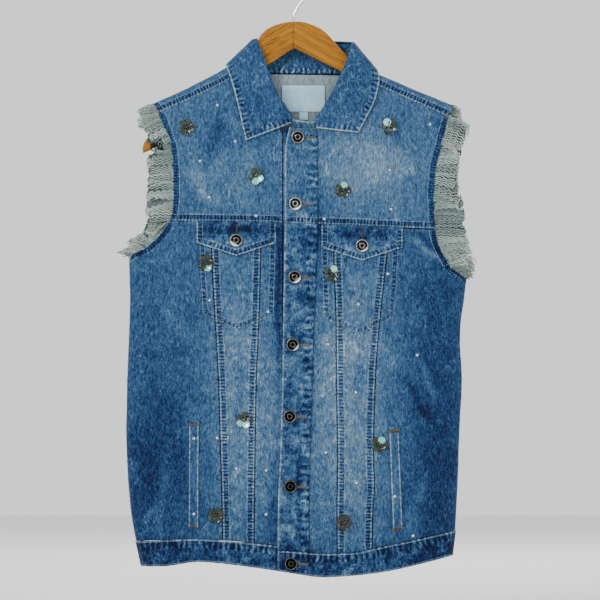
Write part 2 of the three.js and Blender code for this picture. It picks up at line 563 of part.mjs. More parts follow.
// The back yoke wraps over both shoulders. Its top rows are left out over the neck.
function addBackYoke() {
  const wrapAngles = [-90, -45, 0, 45, 90].map(degToRad);
  const neckRow = wrapAngles.length + 1;
  const drops = stops(8).map((at) => at.share);
  const underNeck = 8; // how far the neck row lies below the fold on the shoulders
  const leftEdge = (z) => armholeLeft(z) - backOut(z);
  const rightEdge = (z) => armholeRight(z) + backOut(z);
  const xs = [
    ...stops(7).map((at) => ({ from: 'left', share: at.share, neck: NECK_LEFT })),
    ...stops(12).slice(1, -1).map((at) => ({ from: 'neck', share: at.share })),
    ...stops(7).map((at) => ({ from: 'right', share: at.share, neck: NECK_RIGHT })),
  ];
  const xAt = (column, z) => {
    if (column.from === 'left') return lerp(leftEdge(z), column.neck, column.share);
    if (column.from === 'right') return lerp(column.neck, rightEdge(z), column.share);
    return lerp(NECK_LEFT, NECK_RIGHT, column.share);
  };
  const turns = 20;
  const nearShoulder = -180;
  // One point of the wrap: the seam row, then an arc over the fold
  const settle = (column, zOf) => {
    let z = zOf(xAt(column, nearShoulder));
    for (let turn = 0; turn < turns; turn += 1) z = zOf(xAt(column, z));
    return { x: xAt(column, z), z };
  };
  const seamPoint = (column) => {
    const { x, z } = settle(column, shoulderSeam);
    return place(-1, x, z);
  };
  const arcPoint = (column, angle) => {
    const fallen = FOLD_RADIUS * (1 - Math.cos(angle));
    const { x, z } = settle(column, (at) => shoulderTop(at) - fallen);
    const reach = skinDepth(1, x, shoulderTop(x) - FOLD_RADIUS);
    return new THREE.Vector3(x, reach * Math.sin(angle), z);
  };
  const backPoint = (column, share) => {
    const onFold = (x) => shoulderTop(x) - FOLD_RADIUS - underNeck;
    const start = (x) => (x > NECK_LEFT && x < NECK_RIGHT ? backNeck(x) : onFold(x));
    const { x, z } = settle(column, (at) => lerp(start(at), yokeLine(at), share));
    return place(1, x, z);
  };
  const outer = [
    xs.map(seamPoint),
    ...wrapAngles.map((angle) => xs.map((column) => arcPoint(column, angle))),
    ...drops.map((share) => xs.map((column) => backPoint(column, share))),
  ];
  const onShoulder = (column) => xs[column].neck !== undefined && xs[column].neck === xs[column + 1].neck;
  const present = (row, column) => row >= neckRow || onShoulder(column);
  add('back_yoke', wall(outer, thicken(outer, -1, CLOTH), { present }), 'pale');
}

function addBackPanel() {
  const leftEdge = (z) => (z > PIT.left ? armholeLeft(z) - backOut(z) : sideLeft(z));
  const rightEdge = (z) => (z > PIT.right ? armholeRight(z) + backOut(z) : sideRight(z));
  const edges = {
    left: (z) => Math.max(leftEdge(z), sideLeft(z)),
    right: (z) => Math.min(rightEdge(z), sideRight(z)),
    top: below(yokeLine),
    bottom: above(bandBack, 2 * GAP),
    middle: -500,
  };
  const rows = [...stops(5, 0, PIT_SHARE.back), ...stops(11, PIT_SHARE.back, 1).slice(1)];
  add('back_panel', panel(1, edges, bothSides(10, CROWD.back), rows), 'denim');
}

// Columns that crowd towards both sides of a back piece
function bothSides(count, crowd) {
  const half = stops(count, 0, 0.5, crowd);
  return [...half, ...half.slice(0, -1).reverse().map((at) => stop(1 - at.share))];
}

// The hem bands stand up by a lap's rise. The right one's end crosses over the left one's.
function addBands() {
  const band = { bottom: hemLine, middle: -752 };
  const rows = [stop(0), stop(1)];
  const raised = (columns) => columns.map((at) => ({ ...at, rise: 1 }));
  const crossover = (x) => CROSSOVER * (1 - smoothstep(x, CROSSOVER_SLOPE.from, CROSSOVER_SLOPE.to));
  const leftColumns = [
    ...raised(stops(12, 0, BAND_EVEN.left, CROWD.bandLeft)),
    stop(1, LEFT_BAND_END.step, 1),
    ...LEFT_BAND_END.flat.map((off) => stop(1, off)),
  ];
  const leftEdges = { ...band, top: bandLeft, left: sideLeft, right: always(UNDER_RIGHT - 4) };
  add('band_front_left', panel(-1, leftEdges, leftColumns, rows), 'dark');
  const rightEdges = { ...band, top: bandRight, left: seam.left, right: sideRight };
  const crossing = RIGHT_BAND_END.map((off) => stop(0, off));
  const toSide = stops(12, 0, BAND_EVEN.right, CROWD.bandFaces).map((at) => stop(1 - at.share)).reverse();
  const rightColumns = raised([...crossing, ...toSide]);
  add('band_front_right', panel(-1, rightEdges, rightColumns, rows, { out: crossover }), 'dark');
  const backEdges = { ...band, top: bandBack, left: sideLeft, right: sideRight };
  add('band_back', panel(1, backEdges, raised(bothSides(11, CROWD.bandFaces)), rows), 'dark');
}

function addPlackets() {
  const under = {
    left: always(UNDER_LEFT),
    right: always(UNDER_RIGHT),
    top: placketTop,
    bottom: above(bandLeft),
    middle: -450,
  };
  add('placket_under', panel(-1, under, stops(3), stops(24)), 'denim');
  const over = { ...under, left: seam.left, right: seam.right, bottom: above(bandRight) };
  const out = always(REST + DOUBLED);
  add('placket', panel(-1, over, stops(4), stops(36), { out, thickness: DOUBLED }), 'dark');
}

function addChestPockets() {
  for (const pocket of CHEST_POCKETS) {
    const middle = (pocket.from + pocket.to) / 2;
    const half = (pocket.to - pocket.from) / 2;
    const pointed = (low) => (x) => low - FLAP_POINT * (1 - Math.abs(x - middle) / half);
    const flap = {
      left: always(pocket.from), right: always(pocket.to),
      top: below(yokeLine, GAP), bottom: pointed(pocket.low), middle: pocket.low,
    };
    const lift = LAP_RISE + REST + DOUBLED;
    const onTop = { out: always(lift), thickness: DOUBLED };
    add(`pocket_flap_${pocket.side}`, panel(-1, flap, stops(9), stops(4), onTop), 'denim');
    const bag = {
      left: always(pocket.bagFrom), right: always(pocket.bagTo),
      top: below(yokeLine, LAP), bottom: pointed(pocket.bagLow), middle: pocket.bagLow,
    };
    const behind = { out: always(-CLOTH - REST), thickness: BAG_CLOTH };
    add(`pocket_bag_${pocket.side}`, panel(-1, bag, stops(7), stops(7), behind), 'denim');
    addButton(`button_flap_${pocket.side}`, { x: middle, z: pocket.button }, lift);
  }
}

function addWelts() {
  for (const welt of WELTS) {
    const centre = through([
      { z: welt.top, x: welt.topX },
      { z: welt.bottom, x: welt.bottomX },
    ], 'z', 'x');
    const edges = {
      left: shifted(centre, -WELT_WIDTH / 2), right: shifted(centre, WELT_WIDTH / 2),
      top: always(welt.top), bottom: always(welt.bottom), middle: (welt.top + welt.bottom) / 2,
    };
    const onTop = { out: always(REST + CLOTH) };
    add(`welt_${welt.side}`, panel(-1, edges, stops(2), stops(9), onTop), 'denim');
  }
}

// A shank button: a neck, then a dished cap. Its axis is the cloth's normal.
function addButton(name, { x, z }, lift) {
  const profile = BUTTON_PROFILE.map(({ radius, height }) => new THREE.Vector2(radius, height));
  const button = add(name, new THREE.LatheGeometry(profile, BUTTON_SIDES), 'nickel');
  const seat = place(-1, x, z, lift + GAP);
  const normal = place(-1, x, z, lift + GAP + 1).sub(seat);
  button.position.copy(seat);
  button.quaternion.setFromUnitVectors(new THREE.Vector3(0, 1, 0), normal);
}

function addButtons() {
  FRONT_BUTTONS.forEach((at, i) => addButton(`button_front_${i + 1}`, at, REST + DOUBLED));
  addButton('button_hem', HEM_BUTTON, CROSSOVER + LAP_RISE);
}

// The collar's two walls, from the stations in the table
function addCollar() {
  const across = (row, x, z, extra) => {
    const y = row.side * (skinDepth(Math.sign(row.side) || 1, x, z) + extra);
    return new THREE.Vector3(x, y, z);
  };
  const outwards = (row) => {
    const up = 1 - Math.abs(row.side);
    return new THREE.Vector3(row.turn * up, row.side, up).normalize();
  };
  const neck = (row) => across(row, row.neckX, row.neckZ, 0);
  const roll = (row) => across(row, row.rollX, row.rollZ, STAND_LEAN);
  const edge = (row) => across(row, row.edgeX, row.edgeZ, REST + FALL_CLOTH + CROWN);
  const ruled = (from, to, share) => from.clone().lerp(to, share);

  const standRows = [0, 0.35, 0.7, 1];
  const stand = standRows.map((share) => COLLAR.map((row) => ruled(neck(row), roll(row), share)));
  add('collar_stand', wall(stand, thicken(stand, 1, CLOTH)), 'denim');

  const stations = COLLAR.slice(0, -1);
  const over = (row) => roll(row).addScaledVector(outwards(row), REST + FALL_CLOTH + CROWN);
  const crown = (row) => {
    const upwards = roll(row).sub(neck(row)).normalize();
    return roll(row).addScaledVector(upwards, REST + FALL_CLOTH + CROWN);
  };
  const fall = [
    stations.map(crown),
    ...[0, 0.3, 0.65, 1].map((share) => stations.map((row) => ruled(over(row), edge(row), share))),
  ];
  add('collar_fall', wall(fall, thicken(fall, -1, FALL_CLOTH)), 'pale');
}

function addLabels() {
  const onBack = (box, lift) => {
    const edges = {
      left: always(box.left), right: always(box.right),
      top: always(box.top), bottom: always(box.bottom), middle: (box.top + box.bottom) / 2,
    };
    return panel(1, edges, stops(5), stops(3), { out: always(-CLOTH - lift), thickness: LABEL_CLOTH });
  };
  add('label_main', onBack(MAIN_LABEL, REST), 'label');
  add('label_size', onBack(SIZE_TAB, REST), 'label');
}

// Evenly spaced points down one armhole edge, with the direction into the opening
function armholeStations(side, face) {
  const armhole = side === 'left' ? armholeLeft : armholeRight;
  const turn = side === 'left' ? -1 : 1;
  const start = face < 0 ? FRINGE_TOP.front : FRINGE_TOP.back;
  const out = face < 0 ? always(0) : backOut;
  const path = new THREE.CurvePath();
  const steps = 40;
  const points = Array.from({ length: steps + 1 }, (_, i) => {
    const z = lerp(start, PIT[side] + FRINGE_FROM_PIT, i / steps);
    return new THREE.Vector2(armhole(z) + turn * out(z), z);
  });
  path.add(new THREE.SplineCurve(points));
  return Array.from({ length: STRANDS + 1 }, (_, i) => {
    const at = path.getPointAt(i / STRANDS);
    const along = path.getTangentAt(i / STRANDS);
    return { at, away: new THREE.Vector2(turn * -along.y, turn * along.x) };
  });
}

function addFringe(side, face) {
  const stations = armholeStations(side, face);
  const tuck = (row) => FRINGE_TUCK * smoothstep(row, STRANDS - TUCKED.from, STRANDS - TUCKED.to);
  const gridAt = (lift) => stations.map(({ at, away }, row) => [
    place(face, at.x - away.x * FRINGE_UNDER, at.y - away.y * FRINGE_UNDER, lift - tuck(row)),
    place(face, at.x, at.y, lift - tuck(row))
      .add(new THREE.Vector3(away.x, 0, away.y).multiplyScalar(FRINGE_OUT)),
  ]);
  const strand = (from, to, base) => {
    const isOuterEdge = from % 2 === 1 && to % 2 === 1;
    if (!isOuterEdge) return null;
    const row = Math.min(from, to) >> 1;
    const { away } = stations[row];
    const shortened = LAST_STRANDS.shorter * smoothstep(row, STRANDS - LAST_STRANDS.count, STRANDS);
    const uneven = FRINGE_UNEVEN * Math.sin(row * FRINGE_WAVES.length);
    const length = (FRINGE_LENGTH - FRINGE_OUT + uneven) * (1 - shortened);
    const middle = base.reduce((sum, point) => sum.add(point), new THREE.Vector3()).divideScalar(4);
    const reach = new THREE.Vector3(away.x, 0, away.y).multiplyScalar(length);
    const lean = face * (FRINGE_LEAN + Math.sin(row * FRINGE_WAVES.lean));
    const droop = new THREE.Vector3(0, lean, -FRINGE_DROOP);
    const ring = base.map((point) => point.clone().sub(middle).multiplyScalar(STRAND_RING.size)
      .add(middle).addScaledVector(reach, STRAND_RING.out).addScaledVector(droop, STRAND_RING.droop));
    return { ring, tip: middle.clone().add(reach).add(droop) };
  };
  const name = `fringe_${face < 0 ? 'front' : 'back'}_${side}`;
  add(name, wall(gridAt(-CLOTH - REST), gridAt(-CLOTH - REST - FRINGE_STRIP_THICK), { strand }), 'fringe');
}

function addHanger() {
  const arm = (side, out) => HANGER_ARMS.map((row) => ({
    top: new THREE.Vector2(out * row.out, row[`top${side}`]),
    low: new THREE.Vector2(out * row.out, row[`low${side}`]),
  }));
  const left = arm('Left', -1);
  const right = arm('Right', 1);
  const tops = [...left.slice(1).reverse().map((row) => row.top), ...right.map((row) => row.top)];
  const shape = new THREE.Shape();
  shape.moveTo(tops[0].x, tops[0].y);
  shape.splineThru(tops.slice(1));
  const ends = (top, out) => HANGER_END.map((step) => (
    { x: top.x + out * step.out, y: top.y - step.drop }));
  const outline = [
    ...ends(tops.at(-1), 1),
    ...right.slice(1).reverse().map((row) => row.low),
    ...left.map((row) => row.low),
    ...ends(tops[0], -1).reverse(),
  ];
  outline.forEach((point) => shape.lineTo(point.x, point.y));
  const geometry = new THREE.ExtrudeGeometry(shape, {
    depth: HANGER_THICK - 2 * HANGER_EDGE,
    bevelThickness: HANGER_EDGE,
    bevelSize: HANGER_EDGE,
    bevelOffset: -HANGER_EDGE,
    bevelSegments: 2,
    curveSegments: 2,
  });
  geometry.translate(0, 0, -HANGER_THICK / 2 + HANGER_EDGE);
  geometry.rotateX(Math.PI / 2);
  add('hanger', geometry, 'wood');
}

function addHook() {
  const wire = HOOK_WIRE / 2;
  const radius = HOOK_RADIUS + wire;
  const centre = new THREE.Vector3(0, 0, -HOOK_RADIUS);
  const onArc = (degrees) => {
    const angle = degToRad(degrees);
    return new THREE.Vector3(Math.cos(angle) * radius, 0, Math.sin(angle) * radius).add(centre);
  };
  const foot = HANGER_ARMS[0].topLeft + GAP;
  const arc = Array.from({ length: HOOK_ARC.steps + 1 }, (_, i) =>
    onArc(lerp(HOOK_ARC.tip, HOOK_ARC.shank, i / HOOK_ARC.steps)));
  const shank = [foot + HOOK_STRAIGHT, foot].map((z) => new THREE.Vector3(0, 0, z));
  const path = new THREE.CatmullRomCurve3([...arc, ...shank]);
  const section = new THREE.Shape().absarc(0, 0, wire, 0, Math.PI * 2);
  const geometry = new THREE.ExtrudeGeometry(section, {
    extrudePath: path,
    steps: HOOK_RINGS,
    curveSegments: WIRE_SEGMENTS,
  });
  add('hook', geometry, 'steel');
}

for (const side of ['left', 'right']) {
  addFronts(side);
  addFringe(side, -1);
  addFringe(side, 1);
}
addBackYoke();
addBackPanel();
addBands();
addPlackets();
addChestPockets();
addWelts();
addButtons();
addCollar();
addLabels();
addHanger();
addHook();

export default group;
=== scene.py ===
# %% [markdown]
# # A denim vest on a wooden hanger
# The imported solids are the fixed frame. Every piece of cloth below starts as the outside face of its
# solid, is subdivided, creased and puckered, and gets a wall again. Sewing, fringe, buttons and the
# trimmings are then seated on that cloth, so that everything lies on what carries it.

# %% Load the frame
import json
import math

import bmesh
import bpy
import numpy as np
from mathutils import Matrix, Vector, noise
from mathutils.bvhtree import BVHTree

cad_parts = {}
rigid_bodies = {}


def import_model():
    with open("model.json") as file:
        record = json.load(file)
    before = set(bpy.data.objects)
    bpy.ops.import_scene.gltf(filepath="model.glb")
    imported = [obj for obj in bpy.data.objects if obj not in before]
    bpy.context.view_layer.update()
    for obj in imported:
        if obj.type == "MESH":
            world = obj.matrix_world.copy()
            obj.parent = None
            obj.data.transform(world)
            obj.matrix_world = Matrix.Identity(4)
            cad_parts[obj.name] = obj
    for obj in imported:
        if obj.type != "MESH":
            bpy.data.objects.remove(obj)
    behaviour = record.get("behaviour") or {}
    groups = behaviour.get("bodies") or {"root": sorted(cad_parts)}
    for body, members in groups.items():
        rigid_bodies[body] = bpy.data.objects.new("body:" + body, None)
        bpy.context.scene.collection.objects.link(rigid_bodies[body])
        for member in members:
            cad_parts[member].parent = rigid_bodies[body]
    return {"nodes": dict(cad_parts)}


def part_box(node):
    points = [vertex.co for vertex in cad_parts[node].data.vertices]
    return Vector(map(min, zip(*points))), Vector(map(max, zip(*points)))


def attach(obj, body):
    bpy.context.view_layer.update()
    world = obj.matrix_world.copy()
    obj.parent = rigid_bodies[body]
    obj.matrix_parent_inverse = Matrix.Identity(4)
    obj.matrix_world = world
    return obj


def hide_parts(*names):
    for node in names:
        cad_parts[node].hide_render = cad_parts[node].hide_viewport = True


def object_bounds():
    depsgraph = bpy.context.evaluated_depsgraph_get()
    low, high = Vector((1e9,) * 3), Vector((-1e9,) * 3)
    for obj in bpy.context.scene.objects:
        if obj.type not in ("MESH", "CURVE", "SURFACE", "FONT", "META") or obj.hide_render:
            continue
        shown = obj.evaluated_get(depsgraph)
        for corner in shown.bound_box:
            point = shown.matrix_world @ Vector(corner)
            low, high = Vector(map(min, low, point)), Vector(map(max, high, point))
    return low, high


for thing in list(bpy.data.objects):
    bpy.data.objects.remove(thing)
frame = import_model()
cad_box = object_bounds()
NODES = frame["nodes"]
MM = 0.001
print("nodes", len(NODES), "box", [[round(v, 4) for v in corner] for corner in cad_box])


def add_object(name, data):
    made = bpy.data.objects.new(name, data)
    bpy.context.collection.objects.link(made)
    return made

# %% [markdown]
# The photograph looks straight at the front, and its near and far pieces keep one scale. So the camera
# stands far back on a level line, with a long lens that takes in the same field as the photograph.

# %% Camera
FIELD = 780 * MM  # width of the photograph's field at the cloth
VIEW_DISTANCE = 8.0
FRONT_FACE = -20 * MM
FIELD_MIDDLE = Vector((7.8 * MM, 0, -421.4 * MM))
SENSOR = 36


def add_camera():
    data = bpy.data.cameras.new("camera")
    data.sensor_width = SENSOR
    data.lens = SENSOR * (VIEW_DISTANCE + FRONT_FACE) / FIELD
    camera = add_object("camera", data)
    camera.location = (FIELD_MIDDLE.x, -VIEW_DISTANCE, FIELD_MIDDLE.z)
    camera.rotation_euler = (math.pi / 2, 0, 0)
    bpy.context.scene.camera = camera
    return camera


camera = add_camera()
print("lens", round(camera.data.lens, 1), "mm")

# %% [markdown]
# Denim is dyed warp over white weft, so its outside is blue, streaked and faded, and its inside is a
# pale grey. Each piece carries numbers on its points: how washed out it is there, with painted shade in
# a few patches and in sunken creases, how far the nearest edge lies, which rung of that seam's ladder of
# puckers the point is on, and how strong the ladder, the strip beside it, the worn edge with the painted
# shadow beside a lap, and the crackle are. The material turns them into colour and relief, and adds the
# weave as bump.

# %% Material helpers
def new_material(name):
    material = bpy.data.materials.new(name)
    material.use_nodes = True
    tree = material.node_tree
    return material, tree, tree.nodes["Principled BSDF"]


def node(tree, kind, inputs=None, **settings):
    made = tree.nodes.new(kind)
    for key, value in settings.items():
        setattr(made, key, value)
    for key, value in (inputs or {}).items():
        socket = made.inputs[key]
        if isinstance(value, bpy.types.NodeSocket):
            tree.links.new(value, socket)
        else:
            socket.default_value = value
    return made


def maths(tree, operation, first, second=0.0):
    return node(tree, "ShaderNodeMath", {0: first, 1: second}, operation=operation).outputs[0]


def times(tree, first, second):
    return maths(tree, "MULTIPLY", first, second)


def plus(tree, total, part, weight):
    """A total with one more part added, times its weight."""
    return maths(tree, "ADD", total, times(tree, part, weight))


def from_middle(tree, value, middle=0.5):
    return maths(tree, "ABSOLUTE", maths(tree, "SUBTRACT", value, middle))


def finish_shader(tree, shader, colour, bump=None, **settings):
    """Colour, relief as (height, strength, distance) and plain settings of a shader."""
    tree.links.new(colour, shader.inputs["Base Color"])
    for name, value in settings.items():
        shader.inputs[name.replace("_", " ")].default_value = value
    if bump:
        height, strength, distance = bump
        relief = node(tree, "ShaderNodeBump", {"Height": height, "Strength": strength, "Distance": distance})
        tree.links.new(relief.outputs[0], shader.inputs["Normal"])


def spread(tree, value, low, high, to_low=0.0, to_high=1.0):
    inputs = {"Value": value, "From Min": low, "From Max": high, "To Min": to_low, "To Max": to_high}
    return node(tree, "ShaderNodeMapRange", inputs).outputs["Result"]


def ramp(tree, value, stops):
    made = node(tree, "ShaderNodeValToRGB", {"Fac": value})
    elements = made.color_ramp.elements
    while len(elements) < len(stops):
        elements.new(0.5)
    for element, (place, colour) in zip(elements, stops):
        element.position = place
        element.color = (*colour, 1)
    return made.outputs["Color"]


def stretched(tree, vector, scale, detail=3.0, roughness=0.55):
    """Noise with a scale of its own along each axis."""
    mapping = node(tree, "ShaderNodeMapping", {"Vector": vector, "Scale": scale})
    inputs = {"Vector": mapping.outputs[0], "Scale": 1.0, "Detail": detail, "Roughness": roughness}
    return node(tree, "ShaderNodeTexNoise", inputs).outputs["Fac"]


def turned(tree, vector, degrees, shift=(0, 0, 0)):
    """A place turned about the level axis that runs from front to back."""
    return node(tree, "ShaderNodeMapping", {
        "Vector": vector, "Location": shift, "Rotation": (0, math.radians(degrees), 0)}).outputs[0]


def own_place(tree):
    return node(tree, "ShaderNodeTexCoord").outputs["Object"]


def attribute(tree, name):
    return node(tree, "ShaderNodeAttribute", attribute_name=name).outputs["Fac"]


LIGHT = 1.4  # the studio's strength, so that its ground is pale, and what every colour is divided by


def linear(red, green, blue):
    """A colour given in screen values of 0 to 255, as the shader wants it."""
    return tuple((v / 255) ** 2.2 / LIGHT for v in (red, green, blue))


print("helpers ready")

# %% Denim
DENIM_COLOURS = (
    (0.0, linear(8, 20, 50)), (0.2, linear(22, 50, 90)), (0.42, linear(49, 85, 122)),
    (0.62, linear(84, 115, 143)), (0.82, linear(122, 146, 166)), (1.0, linear(170, 188, 198)))
TWILL_SLANT = 63  # degrees


def denim_material():
    material, tree, shader = new_material("denim")
    place = own_place(tree)
    gap, share = attribute(tree, "gap"), attribute(tree, "share")
    rung, ladder, worn = attribute(tree, "rung"), attribute(tree, "ladder"), attribute(tree, "worn")

    # fades with painted shade in places, short vertical streaks and speckle of the worn warp
    shade = attribute(tree, "wash")
    grain = stretched(tree, place, (900, 900, 900), 2.0, 0.7)
    slub = stretched(tree, place, (760, 760, 210), 3.0, 0.7)
    parts = ((stretched(tree, place, (42, 42, 28), 4.0, 0.6), 0.28),
             (stretched(tree, place, (210, 210, 50), 4.0, 0.7), 0.3),
             (stretched(tree, place, (520, 520, 120), 3.0, 0.75), 0.55),
             (stretched(tree, place, (360, 360, 190), 3.0, 0.75), 0.7), (slub, 0.85), (grain, 0.7))
    for part, weight in parts:
        shade = plus(tree, shade, maths(tree, "SUBTRACT", part, 0.5), weight)

    # thin pale lines where the cloth was creased as it was washed
    for turn, where in ((24, (0, 0, 0)), (-31, (3, 1, 2))):
        slanting = turned(tree, place, turn, where)
        soft = stretched(tree, slanting, (34, 34, 9), 2.0, 0.5)
        ridge = spread(tree, from_middle(tree, soft), 0.0, 0.012, 1.0, 0.0)
        where_worn = spread(tree, stretched(tree, slanting, (26, 26, 16), 2.0, 0.5), 0.5, 0.68)
        shade = plus(tree, shade, times(tree, ridge, where_worn), 0.24)

    # blots as of stiff doubled cloth that rubbed in the wash
    blots = spread(tree, stretched(tree, place, (95, 95, 120), 2.0, 0.55), 0.36, 0.64, -0.5, 0.5)
    shade = plus(tree, shade, blots, attribute(tree, "blots"))

    # pale crackle where stiff cloth was folded in the wash
    wander = node(tree, "ShaderNodeTexNoise", {
        "Vector": place, "Scale": 70.0, "Detail": 2.0}).outputs["Color"]
    warped = node(tree, "ShaderNodeVectorMath", {0: wander, 1: (0.02, 0.02, 0.02), 2: place},
                  operation="MULTIPLY_ADD").outputs[0]
    cells = node(tree, "ShaderNodeTexVoronoi", {"Vector": warped, "Scale": 95.0},
                 feature="DISTANCE_TO_EDGE").outputs["Distance"]
    patch = stretched(tree, place, (55, 55, 55), 2.0, 0.5)
    cracks = spread(tree, cells, 0.0, 0.1, 1.0, 0.0)
    crackle = times(tree, cracks, spread(tree, patch, 0.42, 0.62))
    crackle = times(tree, crackle, attribute(tree, "crackle"))
    shade = plus(tree, shade, crackle, 0.3)

    # the ladder of puckers beside a seam
    jitter = node(tree, "ShaderNodeTexNoise", {"Vector": node(tree, "ShaderNodeCombineXYZ", {
        "X": times(tree, rung, 0.7), "Y": times(tree, share, 0.9)}).outputs[0],
        "Scale": 1.0, "Detail": 2.0}).outputs["Fac"]
    phase = plus(tree, times(tree, rung, 2 * math.pi), jitter, 9.0)
    bars = maths(tree, "SINE", phase)
    reach = maths(tree, "SUBTRACT", spread(tree, jitter, 0.3, 0.7, 1.25, 0.8), share)
    inside = spread(tree, reach, 0.0, 0.28)
    uneven = spread(tree, stretched(tree, place, (150, 150, 150), 2.0, 0.6), 0.35, 0.65, 0.25, 1.3)
    strength = times(tree, ladder, uneven)
    bars = times(tree, times(tree, bars, inside), strength)
    shade = plus(tree, shade, bars, 0.26)
    shade = plus(tree, shade, attribute(tree, "strip"), inside)
    # the ridge over the inner row of stitches is worn pale
    ridge = spread(tree, from_middle(tree, share, 0.96), 0.03, 0.1, 1.0, 0.0)
    shade = plus(tree, shade, times(tree, ridge, attribute(tree, "ridge")), uneven)

    # a worn edge is pale, and the cloth beside a lap gets a dark line of painted shadow
    line = spread(tree, gap, 0.0009, 0.0017, 1.0, 0.0)
    grain_breaks = spread(tree, grain, 0.25, 0.6, 0.35, 1.0)
    shade = plus(tree, shade, times(tree, line, worn), grain_breaks)

    # twill weave, slubs and puckers in relief
    twill = node(tree, "ShaderNodeTexWave", {
        "Vector": turned(tree, place, TWILL_SLANT), "Scale": 380.0, "Distortion": 1.2,
        "Detail": 1.0}).outputs["Fac"]
    height = times(tree, twill, 0.12)
    for part, weight in ((slub, 0.45), (grain, 0.3), (bars, 0.8), (crackle, 0.5)):
        height = plus(tree, height, part, weight)
    finish_shader(tree, shader, ramp(tree, shade, DENIM_COLOURS), (height, 0.6, 0.0007),
                  Roughness=0.9, Specular_IOR_Level=0.14, Sheen_Weight=0.04)
    return material


def wrong_side_material():
    material, tree, shader = new_material("denim_wrong_side")
    place = own_place(tree)
    streak = stretched(tree, place, (300, 300, 160), 3.0, 0.6)
    grain = stretched(tree, place, (900, 900, 900), 2.0, 0.7)
    mix = plus(tree, times(tree, streak, 0.6), grain, 0.4)
    colour = ramp(tree, mix, ((0.3, linear(96, 118, 130)), (0.5, linear(132, 150, 158)),
                              (0.7, linear(170, 180, 184))))
    finish_shader(tree, shader, colour, (mix, 0.5, 0.0004), Roughness=0.92)
    return material


DENIM = denim_material()
WRONG_SIDE = wrong_side_material()
print("denim made")

# %% [markdown]
# The hang of the cloth is one height field for each layer: long soft swells, the creases that the
# photograph shows and similar ones on the back. Every piece moves by the same field, so seams stay
# shut and a flap follows the front that it lies on.

# %% Creases
# each crease is (x1, z1, x2, z2, wide, high) in mm: it runs from (x1, z1) to (x2, z2) and stands above
# the cloth, or lies below it where high is negative
FRONT_CREASES = [
    (128, -296, 139, -326, 3.5, 1.2), (144, -337, 196, -372, 4, 1.3), (150, -331, 200, -362, 4, -1.0),
    (131, -332, 137, -350, 3, 0.8), (161, -493, 184, -552, 4, 1.3), (144, -523, 178, -578, 4, -1.3),
    (-207, -492, -168, -494, 3, -1.1), (-19, -322, -19.5, -490, 3.6, -1.7),
    (0, -492, 12, -520, 3.5, 1.1), (-5, -590, 4, -607, 3.5, 1.1), (-9, -681, 8, -708, 3.5, 1.1),
    (-96, -180, -112, -250, 7, -1.2), (-140, -250, -100, -300, 8, 1.0), (120, -180, 150, -230, 7, -1.0),
    (-180, -420, -140, -470, 9, 0.9), (90, -480, 80, -560, 7, -0.9), (170, -640, 150, -730, 9, 1.2),
    (-165, -620, -176, -740, 9, 1.2), (-72, -480, -68, -600, 7, -0.8),
]
BACK_CREASES = [
    (-120, -190, -80, -290, 8, -1.3), (130, -200, 95, -290, 8, -1.3), (-190, -390, -120, -440, 7, 1.3),
    (195, -410, 130, -470, 7, 1.3), (-60, -460, -70, -640, 9, -1.4), (40, -420, 60, -600, 9, 1.2),
    (150, -560, 140, -720, 10, -1.5), (-150, -560, -165, -720, 10, 1.4), (0, -640, 10, -740, 8, 1.1),
]
CREASE_BEND, CREASE_WAVE = 2 * MM, 7  # how far a crease strays from a straight line, and how fast
CREASE_END = 0.15  # by which share of its length a crease fades out past each end
SWELL_HIGH, SWELL_X, SWELL_Z = 0.9 * MM, 14, 9  # height, and waves to the metre across and down
CRINKLE_HIGH, CRINKLE_X, CRINKLE_Z = 0.35 * MM, 75, 42
BACK_SIDE, CRINKLE_SIDE = 3.7, 9  # other parts of the noise, for the back and for the crinkles


def crease_height(creases, x, z):
    """Height of the creases at arrays of x and z, in metres."""
    total = np.zeros_like(x)
    for x1, z1, x2, z2, wide, high in creases:
        start = np.array([x1, z1]) * MM
        along = np.array([x2, z2]) * MM - start
        length = np.linalg.norm(along)
        share = ((x - start[0]) * along[0] + (z - start[1]) * along[1]) / length**2
        across = ((x - start[0]) * along[1] - (z - start[1]) * along[0]) / length
        across = across + CREASE_BEND * np.sin(share * CREASE_WAVE)
        ends = np.clip((share + CREASE_END) / 0.4, 0, 1) * np.clip((1 + CREASE_END - share) / 0.4, 0, 1)
        total += high * MM * ends * np.exp(-((across / (wide * MM)) ** 2))
    return total


def hang(points, back):
    """How far each point of the cloth stands out in all, and by its creases alone."""
    x, z = points[:, 0], points[:, 2]
    crease = crease_height(BACK_CREASES if back else FRONT_CREASES, x, z)
    height = crease.copy()
    side = BACK_SIDE if back else 0.0
    for i, (px, pz) in enumerate(zip(x, z)):
        swell = noise.noise(Vector((px * SWELL_X, side, pz * SWELL_Z)))
        crinkle = noise.noise(Vector((px * CRINKLE_X, side + CRINKLE_SIDE, pz * CRINKLE_Z)))
        height[i] += swell * SWELL_HIGH + crinkle * CRINKLE_HIGH
    return height, crease


print(len(FRONT_CREASES), "creases in front,", len(BACK_CREASES), "behind")
